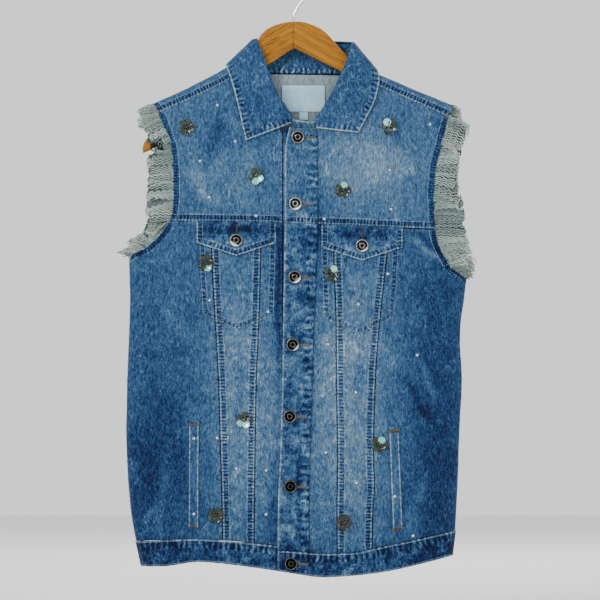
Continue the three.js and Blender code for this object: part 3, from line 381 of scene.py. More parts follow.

# %% [markdown]
# The wash is brightest over the yokes, the chest and the middle panels and darkest along the sides
# and the hem. A short list of soft patches holds it.

# %% Wash and painted shade
# each patch is (x, z, across, down, light): its middle, half width and half height in mm, and how much
# lighter or darker it is; the dark patches beside the placket, under the collar's wing and over the
# flaps' tops are painted shade
FRONT_FADE_AND_SHADE = [
    (-95, -230, 60, 60, 0.14), (95, -244, 70, 52, 0.27), (-150, -190, 30, 30, 0.06),
    (-75, -331, 50, 8, -0.3), (-78, -347, 36, 8, 0.16), (88, -335, 50, 8, -0.26),
    (92, -353, 36, 9, 0.14), (-75, -415, 36, 34, 0.06), (85, -420, 38, 36, 0.08),
    (-75, -480, 36, 24, 0.14), (88, -485, 40, 26, 0.14), (-60, -580, 50, 110, 0.2),
    (70, -590, 55, 120, 0.2), (45, -500, 30, 90, 0.08), (-180, -580, 45, 170, -0.12),
    (185, -600, 40, 190, -0.2), (190, -420, 30, 60, -0.08), (-19, -420, 7, 120, -0.14),
    (-26, -700, 8, 50, -0.2), (34, -330, 7, 40, -0.16), (-9, -200, 5, 9, -0.4),
    (0, -760, 260, 24, -0.12), (-180, -660, 50, 100, -0.17), (180, -680, 45, 90, -0.08),
    (-95, -205, 60, 35, -0.12),
]
PLACKET_WASH = [
    (8, -250, 22, 30, 0.05), (6, -310, 7, 14, 0.12), (16, -345, 10, 14, -0.2), (18, -415, 8, 16, -0.18),
    (2, -470, 8, 20, -0.12), (14, -505, 9, 12, -0.16), (12, -560, 7, 14, -0.2), (-8, -560, 8, 40, -0.1),
    (6, -660, 3.5, 60, -0.3), (12, -616, 7, 7, 0.2), (13, -646, 7, 5, 0.2), (14, -690, 6, 8, 0.14),
    (0, -742, 24, 8, -0.25),
]
BACK_WASH = [
    (0, -220, 120, 70, 0.2), (0, -520, 90, 160, 0.2), (-180, -560, 45, 200, -0.15),
    (185, -560, 45, 200, -0.15),
]


def fade_and_shade_at(points, patches, base):
    value = np.full(len(points), base)
    for x, z, across, down, light in patches:
        dx = (points[:, 0] - x * MM) / (across * MM)
        dz = (points[:, 2] - z * MM) / (down * MM)
        value += light * np.exp(-(dx**2 + dz**2))
    return value


print("wash patches", len(FRONT_FADE_AND_SHADE) + len(PLACKET_WASH) + len(BACK_WASH))

# %% [markdown]
# A solid's outside face is found by growing regions that stop at its sharp rim. The large ones that
# face away from the middle of the vest are the outside, with any steep face between them. It is
# turned into quads and smoothed by subdivision, which rounds the cloth over the sides and softens the
# steps of the laps.

# %% Outside face of a solid
RIM_ANGLE = math.radians(62)
CORNER_ANGLE = math.radians(40)
CRISP_ANGLE = math.radians(17)
LEAST_WALL = 0.15  # a region of less than this share of the largest one is rim
ANY_ANGLE = 3.2  # lets all triangles that share a long side be joined into quads
# pieces that wrap over the shoulder keep only their sharp corners
WRAPPED = ("back_yoke", "collar_fall", "collar_stand")
WRAPPED_CORNER = math.radians(62)
FAR = 9.0  # farther off than any point of the vest
CORE_LEFT, CORE_RIGHT = -150 * MM, 160 * MM
CORE_TOP = -190 * MM


def deselect_all():
    for thing in list(bpy.context.selected_objects):
        thing.select_set(False)


def activate(thing):
    deselect_all()
    thing.select_set(True)
    bpy.context.view_layer.objects.active = thing


def shape_by(thing, kind, **settings):
    """Add a modifier to the active object and apply it."""
    modifier = thing.modifiers.new(kind, kind)
    for key, value in settings.items():
        setattr(modifier, key, value)
    bpy.ops.object.modifier_apply(modifier=modifier.name)


def select_faces(thing, test):
    """Select the faces of the mesh in edit mode that pass a test."""
    bpy.ops.mesh.select_mode(type="FACE")
    bpy.ops.mesh.select_all(action="DESELECT")
    mesh = bmesh.from_edit_mesh(thing.data)
    for face in mesh.faces:
        face.select_set(test(face))
    bmesh.update_edit_mesh(thing.data)


def face_regions(mesh):
    """Groups of faces that meet at less than the rim angle, largest first."""
    left, groups = set(mesh.faces), []
    while left:
        seed = left.pop()
        group, front = [seed], [seed]
        while front:
            face = front.pop()
            for edge in face.edges:
                for other in edge.link_faces:
                    if other in left and face.normal.angle(other.normal, 0) < RIM_ANGLE:
                        left.discard(other)
                        group.append(other)
                        front.append(other)
        groups.append(group)
    return sorted(groups, key=lambda group: -sum(face.calc_area() for face in group))


def core_point(point):
    """The nearest point of the flat space inside the vest."""
    return Vector((min(max(point.x, CORE_LEFT), CORE_RIGHT), 0, min(point.z, CORE_TOP)))


def outside_face(node_name):
    """A bmesh of the face of a solid that looks away from the vest's inside."""
    mesh = bmesh.new()
    mesh.from_mesh(NODES[node_name].data)
    bmesh.ops.remove_doubles(mesh, verts=mesh.verts, dist=1e-6)
    mesh.normal_update()

    def facing(group):
        middles = [(face, face.calc_center_median()) for face in group]
        return sum(face.calc_area() * face.normal.dot(middle - core_point(middle))
                   for face, middle in middles)

    def area(group):
        return sum(face.calc_area() for face in group)

    groups = face_regions(mesh)
    walls = [group for group in groups if area(group) > LEAST_WALL * area(groups[0])]
    keep = {face for group in walls if facing(group) > 0 for face in group}
    # a steep face between faces of the outside belongs to it too
    steep = [face for face in mesh.faces if face not in keep
             and sum(any(other in keep for other in edge.link_faces) for edge in face.edges) >= 2]
    keep.update(steep)
    bmesh.ops.delete(mesh, geom=[face for face in mesh.faces if face not in keep], context="FACES")
    bmesh.ops.join_triangles(mesh, faces=mesh.faces, angle_face_threshold=ANY_ANGLE,
                             angle_shape_threshold=ANY_ANGLE)
    crisp = mesh.verts.layers.float.new("crease_vert")
    crisp_angle = WRAPPED_CORNER if node_name in WRAPPED else CRISP_ANGLE
    for vertex in mesh.verts:
        rim = [edge.other_vert(vertex).co - vertex.co for edge in vertex.link_edges if edge.is_boundary]
        if len(rim) == 2 and math.pi - rim[0].angle(rim[1], 0) > crisp_angle:
            vertex[crisp] = 1.0
    return mesh


def open_edges(mesh, corner_angle, splits=()):
    """The open edges of a sheet as chains of points, split at its corners and near given places."""
    left = {edge for edge in mesh.edges if edge.is_boundary}
    links = {}
    for edge in left:
        for vertex in edge.verts:
            links.setdefault(vertex, []).append(edge)

    def turns(vertex):
        if len(links[vertex]) != 2:
            return True
        a, b = (edge.other_vert(vertex).co - vertex.co for edge in links[vertex])
        return math.pi - a.angle(b, 0) > corner_angle

    corners = {vertex for vertex in links if turns(vertex)}
    for x, z in splits:
        corners.add(min(links, key=lambda v: (v.co.x - x * MM) ** 2 + (v.co.z - z * MM) ** 2))
    chains = []
    while left:
        cornered = [edge for edge in left if any(v in corners for v in edge.verts)]
        edge = min(cornered or left, key=lambda e: tuple(e.verts[0].co) + tuple(e.verts[1].co))
        vertex = edge.verts[0] if edge.verts[0] in corners else edge.verts[1]
        chain = [vertex.co.copy()]
        while edge is not None:
            left.discard(edge)
            vertex = edge.other_vert(vertex)
            chain.append(vertex.co.copy())
            ahead = [e for e in links[vertex] if e in left]
            edge = ahead[0] if ahead and vertex not in corners else None
        chains.append(np.array(chain))
    return chains


def near_chain(points, chain):
    """Distance from each point to a chain of points, and the run along it."""
    starts, spans = chain[:-1], np.diff(chain, axis=0)
    lengths = np.linalg.norm(spans, axis=1)
    runs = np.concatenate([[0], np.cumsum(lengths)])
    best = np.full(len(points), FAR)
    run = np.zeros(len(points))
    for i, (start, span, length) in enumerate(zip(starts, spans, lengths)):
        if length < 1e-9:
            continue
        share = np.clip(((points - start) @ span) / length**2, 0, 1)
        distance = np.linalg.norm(points - start - share[:, None] * span, axis=1)
        closer = distance < best
        best[closer] = distance[closer]
        run[closer] = runs[i] + share[closer] * length
    return best, run


print("outside of the back yoke:", len(outside_face("back_yoke").faces), "faces")

# %% [markdown]
# Every edge of a piece has a way in which it is sewn, and that decides its puckers, its wear and its
# rows of stitches. A table gives one point on each edge that matters, and the way it is sewn there.
# The stitched outline of the chest pockets' bags shows on the fronts and counts as an edge too.

# %% How edges are sewn
# wide: strip of puckers in mm; pitch: from one rung to the next in mm; ladder, wear and shadow of the
# edge, strip, ridge: how much lighter the rungs, the edge, the strip and its ridge are, a dark edge being
# painted shadow; rows: stitch rows, mm from the edge
SEAM_KEYS = ("wide", "pitch", "ladder", "worn", "strip", "ridge")
WAY_KEYS = SEAM_KEYS + ("rows",)
SEWN = {
    "lap": (9.5, 4.4, 1.1, 0.5, -0.2, 0.2, (1.7, 8.2)),
    "under": (4.5, 5, 0.3, -0.5, 0.05, 0, ()),
    "raw": (8.6, 4, 0.55, 0.1, -0.24, 0.22, (8.6,)),
    "bold": (13, 7.5, 1.15, 0.5, -0.05, 0, (1.6,)),
    "hidden": (14, 10, 0.75, -0.1, -0.04, 0, ()),
    "collar": (10, 6.5, 1.0, 0.8, -0.02, 0, (1.5,)),
    "neck": (8, 7, 1.3, -0.4, 0.06, 0, ()),
    "fold": (6, 6.5, 0.3, 0.45, 0.02, 0, (2.0,)),
    "flap": (9, 5, 1.0, 0.65, -0.08, 0.14, (1.5, 7.6)),
    "welt": (3, 8, 0.5, 0.45, 0.04, 0, (1.3,)),
    "plain": (5, 6, 0.15, 0.1, 0.0, 0, ()),
    "bag": (8, 6, 0.9, 0.4, -0.1, 0.12, ()),
}
SEWN = {name: dict(zip(WAY_KEYS, row)) for name, row in SEWN.items()}
# for each piece, points (x, z) in mm on its edges
EDGES = {
    "front_yoke_left": (("raw", -158, -260), ("lap", -80, -319), ("under", -14.3, -260)),
    "front_yoke_right": (("raw", 183, -270), ("lap", 100, -325), ("under", 18.3, -260)),
    "side_front_left": (("raw", -175, -336), ("under", -100, -500), ("under", -130, -319)),
    "side_front_right": (("raw", 186, -340), ("under", 107, -520), ("under", 160, -328)),
    "middle_front_left": (("lap", -101, -460), ("lap", -47, -460), ("under", -75, -319)),
    "middle_front_right": (("lap", 55, -460), ("lap", 110, -460), ("under", 88, -325)),
    "centre_front_left": (("under", -47, -460), ("under", -14, -460)),
    "centre_front_right": (("under", 55, -460), ("under", 18, -460)),
    "band_front_left": (("bold", -100, -733), ("fold", -100, -764)),
    "band_front_right": (("bold", 100, -744), ("fold", 100, -778), ("fold", -21, -760)),
    "band_back": (("bold", 0, -741), ("fold", 0, -777)),
    "placket": (("fold", -13, -420), ("hidden", 28, -420)),
    "pocket_flap_left": (("flap", -127, -335), ("flap", -75, -364), ("flap", -24, -335)),
    "pocket_flap_right": (("flap", 36, -335), ("flap", 88, -370), ("flap", 141, -335)),
    "welt_left": (("welt", -136.5, -650), ("welt", -124.5, -650)),
    "welt_right": (("welt", 126, -656), ("welt", 138, -656)),
    "back_yoke": (("raw", -166, -260), ("raw", 190, -270), ("lap", 0, -321), ("lap", -129, -156),
                  ("lap", 149, -160)),
    "back_panel": (("raw", -178, -336), ("raw", 194, -345), ("lap", -218, -560), ("lap", 217, -560),
                   ("under", 0, -321)),
    "collar_fall": (("collar", -77, -160), ("collar", -34, -203), ("collar", 56, -201),
                    ("collar", 99, -172), ("collar", 0, -138)),
    "collar_stand": (("neck", 0, -127), ("neck", -40, -172), ("neck", 62, -171), ("fold", 12, -188.5)),
}
# places where an edge changes its way without a corner
SPLITS = {
    "side_front_left": ((-214.8, -364), (-162, -318.5)),
    "side_front_right": ((222, -391),),
    "back_panel": ((-214.8, -364), (-168, -318), (222, -391)),
    "collar_stand": ((27.5, -191), (29, -198.5)),
}
BAG_OUTLINES = {
    "left": ((-123.2, -340), (-122.2, -384), (-118.6, -439.3), (-74.1, -459.8), (-26.3, -441.2),
             (-23.4, -340)),
    "right": ((35.1, -345), (38.6, -444.7), (85.5, -465.6), (130.8, -443.5), (136.5, -350)),
}
YOKE_ON_PLACKET = ((-24, -320.6), (34, -322.6))
ABOVE_YOKE_ON_PLACKET = ((34, -300), (-24, -300))
# lines stitched through a piece: way of sewing, the line, and what closes it to the area that it marks
MARKS = {"placket": (("lap", YOKE_ON_PLACKET, ABOVE_YOKE_ON_PLACKET), )}
for side, outline in BAG_OUTLINES.items():
    for part in ("side_front", "middle_front", "centre_front"):
        MARKS[f"{part}_{side}"] = (("bag", outline, ()), )


def sewn_edges(node_name, mesh):
    """Pairs of a way of sewing and a chain of points, for all edges of a sheet."""
    corner_angle = WRAPPED_CORNER if node_name in WRAPPED else CORNER_ANGLE
    chains = open_edges(mesh, corner_angle, SPLITS.get(node_name, ()))
    ways = ["plain"] * len(chains)
    for way, x, z in EDGES.get(node_name, ()):
        reach = [np.min((chain[:, 0] - x * MM) ** 2 + (chain[:, 2] - z * MM) ** 2) for chain in chains]
        ways[int(np.argmin(reach))] = way
    return list(zip(ways, chains))


def inside_outline(points, outline):
    """Which points lie inside an outline in x and z."""
    inside = np.zeros(len(points), bool)
    x, z = points[:, 0] / MM, points[:, 2] / MM
    for (x1, z1), (x2, z2) in zip(outline, outline[1:] + outline[:1]):
        crosses = (z1 > z) != (z2 > z)
        at = x1 + (z - z1) / (z2 - z1 + 1e-9) * (x2 - x1)
        inside ^= crosses & (x < at)
    return inside


def marked(points, line, closing):
    """Distance from a stitched line, for points in the area that it marks, and the run along it."""
    flat = points * (1, 0, 1)
    chain = np.array([(x * MM, 0, z * MM) for x, z in line])
    distance, run = near_chain(flat, chain)
    distance[~inside_outline(points, line + closing)] = FAR
    return distance, run


print("ways of sewing", len(SEWN), "and pieces with sewn edges", len(EDGES))

# %% [markdown]
# Each piece of cloth is now made: subdivided, moved by the hang of its layer, puckered along its
# edges, given its numbers, and thickened inwards by the cloth's own thickness.

# %% Cloth pieces
PUCKER_HIGH, PUCKER_NOISE = 0.45 * MM, (0.9, 0.8, 5.0)
# a raised crease is lighter from wear, and a sunken one is darker by painted shade
CREASE_WEAR_AND_SHADE, DEEPEST_CREASE_SHADE, MOST_CREASE_WEAR = 0.14 / MM, -0.16, 0.2  # how much lighter a crease is for its height
FAINT_LADDER, FAINT_SET_BACK = 0.2, 3 * MM  # a plain edge gives way to a puckered one nearby
EDGE_SHIFT = 7.3  # so that the rungs of two edges don't match
BLOTS_FROM, BLOTS_FADE = -280, 50  # in mm: the placket is smooth above this height, blotted below
HANGER_ROOM = 1.0 * MM  # left between the cloth's wall and the hanger
HANGER_NEAR = 12 * MM
HANGER = BVHTree.FromPolygons([v.co for v in NODES["hanger"].data.vertices],
                              [tuple(f.vertices) for f in NODES["hanger"].data.polygons])
CLOTH = {}
CHAINS = {}
SKINS = {}
SHEETS = []


def write_attribute(mesh, name, values):
    made = mesh.attributes.new(name, "FLOAT", "POINT")
    made.data.foreach_set("value", np.asarray(values, dtype=np.float32))


def seam_values(points, edges, marks):
    """For each point the distance from the nearest edge and that edge's numbers."""
    gap, run = np.full(len(points), FAR), np.zeros(len(points))
    numbers = {key: np.ones(len(points)) for key in SEAM_KEYS}
    found = [(SEWN[way], *near_chain(points, chain)) for way, chain in edges]
    found += [(SEWN[way], *marked(points, line, closing)) for way, line, closing in marks]
    for i, (way, distance, along) in enumerate(found):
        if way["ladder"] < FAINT_LADDER:
            distance = distance + FAINT_SET_BACK
        closer = distance < gap
        gap[closer] = distance[closer]
        run[closer] = along[closer] / (way["pitch"] * MM) + i * EDGE_SHIFT
        for key in SEAM_KEYS:
            numbers[key][closer] = way[key]
    return gap, run, numbers


def keep_off_hanger(points, normals, wall):
    """Points of a cloth's outside face, pushed out where its wall would reach the hanger."""
    for i, point in enumerate(points):
        place, normal, _, far = HANGER.find_nearest(Vector(point), HANGER_NEAR)
        if place is None:
            continue
        apart = far if (Vector(point) - place).dot(normal) > 0 else -far
        points[i] += normals[i] * max(wall * MM + HANGER_ROOM - apart, 0)
    return points


def cloth(node_name, back=False, base=0.42, crackle=0.3, blots=0.04, levels=2, wall=1.3, doubled=False):
    sheet = outside_face(node_name)
    flat_area = sum(face.calc_area() for face in sheet.faces)
    name = f"cloth_{node_name}"
    data = bpy.data.meshes.new(name)
    sheet.to_mesh(data)
    sheet.free()
    piece = add_object(name, data)
    activate(piece)
    shape_by(piece, "SUBSURF", subdivision_type="SIMPLE", levels=1, render_levels=1)
    shape_by(piece, "SUBSURF", levels=levels, render_levels=levels, boundary_smooth="PRESERVE_CORNERS")

    mesh = bmesh.new()
    mesh.from_mesh(piece.data)
    mesh.normal_update()
    edges = sewn_edges(node_name, mesh)
    normals = np.array([v.normal for v in mesh.verts])
    mesh.free()
    points = np.array([v.co for v in piece.data.vertices])
    gap, run, numbers = seam_values(points, edges, MARKS.get(node_name, ()))
    share = gap / (numbers["wide"] * MM)
    rise, crease = hang(points, back)
    by_run, by_share, aside = PUCKER_NOISE
    waves = [noise.noise(Vector((r * by_run, s * by_share, aside))) for r, s in zip(run, share)]
    rise = rise + np.array(waves) * np.exp(-(share**2)) * numbers["ladder"] * PUCKER_HIGH
    points = keep_off_hanger(points + normals * rise[:, None], normals, wall)
    piece.data.vertices.foreach_set("co", points.astype(np.float32).ravel())
    quads = [tuple(f.vertices) for f in piece.data.polygons]
    skin = BVHTree.FromPolygons([Vector(p) for p in points], quads)
    patches = BACK_WASH if back else PLACKET_WASH if node_name == "placket" else FRONT_FADE_AND_SHADE
    # raised creases lighten by wear, sunken ones darken by painted shade, and some patches are painted shade
    wash = fade_and_shade_at(points, patches, base) + np.clip(crease * CREASE_WEAR_AND_SHADE, DEEPEST_CREASE_SHADE, MOST_CREASE_WEAR)
    everywhere = np.ones(len(points))
    lower = np.clip((BLOTS_FROM * MM - points[:, 2]) / (BLOTS_FADE * MM), 0.25, 1)
    values = dict(wash=wash, gap=gap, share=share, rung=run, crackle=crackle * everywhere,
                  blots=blots * (lower if node_name == "placket" else everywhere))
    for key, value in (values | {key: numbers[key] for key in SEAM_KEYS[2:]}).items():
        write_attribute(piece.data, key, value)
    piece.data.materials.append(DENIM)
    piece.data.materials.append(WRONG_SIDE)
    shape_by(piece, "SOLIDIFY", thickness=wall * MM, offset=-1, material_offset=0 if doubled else 1)
    piece.data.shade_smooth()
    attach(piece, "root")
    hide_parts(node_name)
    CLOTH[node_name] = piece
    CHAINS[node_name] = edges
    SKINS[node_name] = skin
    SHEETS.append((piece, flat_area))


# base tone and blots of the fronts
FRONT_BASE = {"front_yoke": (0.41, 0.03), "side_front": (0.385, 0.03), "middle_front": (0.43, 0.12),
              "centre_front": (0.4, 0.12)}
for side in ("left", "right"):
    for part, (base, blots) in FRONT_BASE.items():
        cloth(f"{part}_{side}", base=base, blots=blots)
    cloth(f"band_front_{side}", base=0.3, crackle=1.0, blots=0.3, wall=1.8, doubled=True)
    cloth(f"pocket_flap_{side}", base=0.35, crackle=0.8, blots=0.3, wall=1.8, doubled=True)
    cloth(f"welt_{side}", base=0.42, wall=1.2, doubled=True)
    cloth(f"pocket_bag_{side}", base=0.5, levels=1, wall=0.8)
cloth("placket_under", base=0.4, levels=1)
cloth("placket", base=0.4, crackle=0.9, blots=0.34, wall=1.8, doubled=True)
cloth("back_yoke", back=True, base=0.42)
cloth("back_panel", back=True, base=0.4)
cloth("band_back", back=True, base=0.3, crackle=1.0, blots=0.3, wall=1.8, doubled=True)
cloth("collar_stand", base=0.36, crackle=0.8, blots=0.1, doubled=True)
cloth("collar_fall", base=0.33, crackle=0.9, wall=1.6, doubled=True)
print("cloth pieces", len(CLOTH), "triangles", sum(len(p.data.polygons) for p in CLOTH.values()) * 2)

# %% [markdown]
# Each armhole is left raw, and its frayed yarns stand out all round as a thick curly fringe. The yarns
# are thin tubes in three layers, the lower two darkened by painted shade, the lowest most. They grow in
# locks from the armhole's edge, so that neighbours lean, crimp and hook round together, and reach as far
# as they are seen to.

# %% Armhole edges
EDGE_STEP = 0.5 * MM
ARMHOLE_PIECES = {
    ("left", "front"): ("front_yoke_left", "side_front_left"),
    ("right", "front"): ("front_yoke_right", "side_front_right"),
    ("left", "back"): ("back_yoke", "back_panel"),
    ("right", "back"): ("back_yoke", "back_panel"),
}


def unit(vectors, least=0.0):
    return vectors / (np.linalg.norm(vectors, axis=-1, keepdims=True) + least)


def run_along(points):
    """How far each point of a line lies from its start."""
    return np.concatenate([[0], np.cumsum(np.linalg.norm(np.diff(points, axis=0), axis=1))])


def resample(points, step):
    """Points at equal steps along a line."""
    run = run_along(points)
    count = max(2, int(round(run[-1] / step)) + 1)
    at = np.linspace(0, run[-1], count)
    return np.stack([np.interp(at, run, points[:, i]) for i in range(3)], axis=1)


def armhole_path(side, face):
    """The raw edge from the shoulder seam down to the underarm point."""
    parts = []
    for name in ARMHOLE_PIECES[(side, face)]:
        raw = [chain for way, chain in CHAINS[name] if way == "raw"]
        chain = next(c for c in raw if (c[:, 0].mean() < 0) == (side == "left"))
        parts.append(chain if chain[0, 2] > chain[-1, 2] else chain[::-1])
    return resample(np.concatenate(parts), EDGE_STEP)


for side, face in ARMHOLE_PIECES:
    print(side, face, "armhole edge", round(len(armhole_path(side, face)) * EDGE_STEP / MM), "mm")

# %% Fringe
# height in mm, and how far the yarns reach past the front edge there
FRINGE_REACH = {
    "left": ((-150, 20), (-166, 26), (-180, 28), (-200, 25), (-206, 19), (-211, 9), (-226, 8),
             (-231, 24), (-242, 31), (-290, 34), (-312, 30), (-336, 26), (-346, 33), (-355, 24), (-366, 7)),
    "right": ((-150, 12), (-168, 17), (-186, 28), (-200, 29), (-222, 24), (-262, 30), (-296, 36),
              (-318, 39), (-345, 38), (-370, 34), (-392, 16)),
}
BACK_EDGE_OUT = 6  # in mm: how far the back edge already lies past the front one
LEAST_BACK_REACH = 12  # shorter ones are the gap for the hanger's tip, which the back's yarns close
# above the first and below the second the lowest yarns show, and are as light as the rest, with no painted
# shade
SHOULDER_LEVEL, UNDERARM_LEVEL = -186 * MM, -340 * MM
YARN_POINTS = 26
YARN_SIDES = 4
YARN_RADIUS = 0.9 * MM
YARN_ROOT = 2.5 * MM  # how far a yarn starts inside the cloth's edge
TURN = 6.28
TAPER, TINY = 0.7, 1e-12
HOOK_FROM = 0.78  # share of a yarn's length at which its hook begins
# a normal that turns away is made to face ahead at least this much, and its other parts shrink
EDGE_ON, LEAST_AHEAD, SHRINK = 0.2, 0.5, 0.35
FLOW_PITCH = 24  # waves to the metre in which the lean of the locks changes
ROOT_TONE = 0.75  # how light a yarn's root is beside its end
WAVE = 7.5 * MM  # from one crimp of a yarn to the next
FLOW = 0.65  # how far neighbouring locks lean together, in radians
UNDERARM_DROP = 0.8  # how far the yarns of the slanting edge at the underarm turn to the level
# the layers of yarns: depth below the cloth's face, rise, pitch along the edge in mm, and how light, the
# lower layers being darkened by painted shade
FRINGE_LAYERS = (
    dict(depth=-1.5, rise=0.0, pitch=1.4, light=0.2),
    dict(depth=-1.0, rise=1.4, pitch=2.3, light=0.6),
    dict(depth=-0.4, rise=2.8, pitch=2.6, light=0.96),
)


def yarn(root, out, along, lift, length, lean, lock):
    """Centre line of one yarn: crimped all along, and hooked round at its end."""
    share = np.linspace(0, 1, YARN_POINTS)
    wave = 2 * math.pi * share * length / WAVE + lock["phase"]
    hooked = np.clip((share - HOOK_FROM) / (1 - HOOK_FROM), 0, 1) ** 1.5
    turn = lean + lock["crimp"] * np.cos(wave) + lock["hook"] * hooked
    ahead, aside = np.cumsum(np.cos(turn)), np.cumsum(np.sin(turn))
    scale = length / max(ahead.max(), 0.55 * YARN_POINTS)
    line = root + out * (ahead * scale)[:, None] + along * (aside * scale)[:, None]
    height = lock["rise"] * share * (1.4 - share) + 0.5 * MM * np.sin(wave * 0.8)
    return line + lift * height[:, None] + np.array([0, 0, -1]) * (lock["droop"] * share**2)[:, None]


def tubes(lines, radius, sides=3):
    """One mesh of thin tapering tubes along centre lines of equal length."""
    lines = np.asarray(lines)
    count, rings = lines.shape[:2]
    ahead = unit(np.gradient(lines, axis=1), TINY)
    first = unit(np.cross(ahead, np.array([0.3, 1.0, 0.2])), TINY)
    second = np.cross(ahead, first)
    taper = (radius * np.linspace(1, TAPER, rings))[None, :, None]
    angles = [2 * math.pi * k / sides for k in range(sides)]
    rim = np.stack([lines + taper * (math.cos(a) * first + math.sin(a) * second) for a in angles],
                   axis=2)
    verts = rim.reshape(-1, 3)
    faces = []
    for i in range(count):
        base = i * rings * sides
        for j in range(rings - 1):
            for k in range(sides):
                here, there = base + j * sides, base + (j + 1) * sides
                faces.append((here + k, here + (k + 1) % sides, there + (k + 1) % sides, there + k))
        faces.append(tuple(base + k for k in reversed(range(sides))))
        faces.append(tuple(base + (rings - 1) * sides + k for k in range(sides)))
    return verts, faces


def add_mesh(name, verts, faces, material, replaces=(), smooth=True):
    data = bpy.data.meshes.new(name)
    data.from_pydata([tuple(v) for v in verts], [], faces)
    data.validate()
    thing = add_object(name, data)
    data.materials.append(material)
    if smooth:
        data.shade_smooth()
    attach(thing, "root")
    if replaces:
        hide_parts(*replaces)
    return thing


def fringe_material():
    material, tree, shader = new_material("frayed_yarn")
    place = own_place(tree)
    tone = attribute(tree, "tone")
    blot = stretched(tree, place, (420, 420, 420), 2.0, 0.6)
    shade = plus(tree, times(tree, tone, 0.75), blot, 0.3)
    colour = ramp(tree, shade, ((0.2, linear(34, 54, 60)), (0.5, linear(96, 120, 118)),
                                (0.75, linear(158, 176, 168)), (1.0, linear(206, 216, 208))))
    finish_shader(tree, shader, colour, Roughness=0.95, Sheen_Weight=0.2)
    return material


FRINGE = fringe_material()


def flatten(normal, face):
    """A normal of the cloth turned towards the front or the back, so that yarns spread sideways."""
    ahead = math.copysign(1, normal[1]) if abs(normal[1]) > EDGE_ON else (-1 if face == "front" else 1)
    flat = np.array([normal[0] * SHRINK, ahead * max(abs(normal[1]), LEAST_AHEAD), normal[2] * SHRINK])
    return flat / np.linalg.norm(flat)


def add_fringe(side, face):
    rng = np.random.default_rng(11 + 5 * (side == "left") + 17 * (face == "back"))
    path = armhole_path(side, face)
    least = 0 if face == "front" else LEAST_BACK_REACH
    reach = np.array([row for row in FRINGE_REACH[side] if row[1] >= least])[::-1]
    toward = -1 if side == "left" else 1
    tangent = unit(np.gradient(path, axis=0))
    lines, tones = [], []
    for layer in FRINGE_LAYERS:
        lock, left_in_lock = {}, 0
        for run in np.arange(0, (len(path) - 1) * EDGE_STEP, layer["pitch"] * MM):
            if left_in_lock == 0:
                left_in_lock = rng.integers(3, 7)
                lock = dict(phase=rng.uniform(0, TURN), crimp=rng.uniform(0.45, 0.95),
                            hook=rng.normal(0, 1.1), rise=(layer["rise"] + rng.uniform(0, 2.0)) * MM,
                            droop=rng.uniform(0, 3) * MM, lean=rng.normal(0, 0.1),
                            grown=rng.uniform(0.88, 1.06), tone=rng.uniform(0.72, 1.1))
            left_in_lock -= 1
            lock["phase"] += rng.uniform(0.0, 0.5)
            shift = run + rng.uniform(-0.3, 0.3) * MM
            at = min(max(int(shift / EDGE_STEP), 0), len(path) - 1)
            spot, along = Vector(path[at]), tangent[at]
            hits = [SKINS[name].find_nearest(spot) for name in ARMHOLE_PIECES[(side, face)]]
            normal = flatten(np.array(min(hits, key=lambda hit: hit[3])[1]), face)
            out = np.cross(along, normal)
            out *= toward * (1 if out[0] > 0 else -1) / np.linalg.norm(out)
            out[2] -= UNDERARM_DROP * max(out[2], 0)
            out /= np.linalg.norm(out)
            far = np.interp(path[at, 2] / MM, reach[:, 0], reach[:, 1]) * MM
            if face == "back":
                far -= BACK_EDGE_OUT * MM
            flow = noise.noise(Vector((run * FLOW_PITCH, toward, 0))) * FLOW
            length = (far + YARN_ROOT) * lock["grown"] * rng.uniform(0.94, 1.03)
            root = path[at] + normal * layer["depth"] * MM - out * YARN_ROOT
            lines.append(yarn(root, out, along, normal, length, lock["lean"] + flow, lock))
            # the lower layers are darkened by painted shade, except where they show
            light = layer["light"] if UNDERARM_LEVEL < path[at, 2] < SHOULDER_LEVEL else 1.0
            tones.append(light * lock["tone"] * rng.uniform(0.82, 1.1))
    verts, faces = tubes(lines, YARN_RADIUS, YARN_SIDES)
    made = add_mesh(f"frayed_{face}_{side}", verts, faces, FRINGE,
                    [f"fringe_{face}_{side}"])
    along_yarn = np.tile(np.repeat(np.linspace(ROOT_TONE, 1, YARN_POINTS), YARN_SIDES), len(lines))
    write_attribute(made.data, "tone", np.repeat(tones, YARN_POINTS * YARN_SIDES) * along_yarn)
    return made


for side, face in ARMHOLE_PIECES:
    made = add_fringe(side, face)
    print(made.name, len(made.data.polygons), "faces")

# %% [markdown]
# Stitches are short pale threads that dip into the cloth at both ends. Each row follows an edge at
# its inset, found on the creased cloth itself. A row ends where it meets the row of the next edge.

# %% Thread
THREAD_RADIUS = 0.3 * MM
STITCH = 2.6 * MM
STITCH_PITCH = 3.4 * MM
STITCH_SHARES = np.array([0.0, 0.2, 0.8, 1.0])
STITCH_LIFTS = np.array([-0.12, 0.3, 0.3, -0.12]) * MM
ROW_SLACK = 0.4 * MM
PROBE = 4 * MM


def thread_material():
    material, tree, shader = new_material("thread")
    tone = attribute(tree, "tone")
    colour = ramp(tree, tone, ((0.0, linear(28, 34, 48)), (0.25, linear(92, 82, 62)),
                               (0.5, linear(150, 130, 98)), (0.75, linear(126, 154, 172)),
                               (1.0, linear(196, 212, 220))))
    finish_shader(tree, shader, colour, Roughness=0.7)
    return material


THREAD = thread_material()
THREADS = {"front": [], "back": []}
SLIT_SHADOW, UMBER, TAN, PALE = 0.0, 0.25, 0.5, 0.82  # tones of the thread, the darkest a painted shadow down a buttonhole's slit


def smooth_line(points, times):
    """A line with its small corners taken off."""
    for _ in range(times):
        points = np.concatenate([points[:1], (points[:-2] + 2 * points[1:-1] + points[2:]) / 4, points[-1:]])
    return points


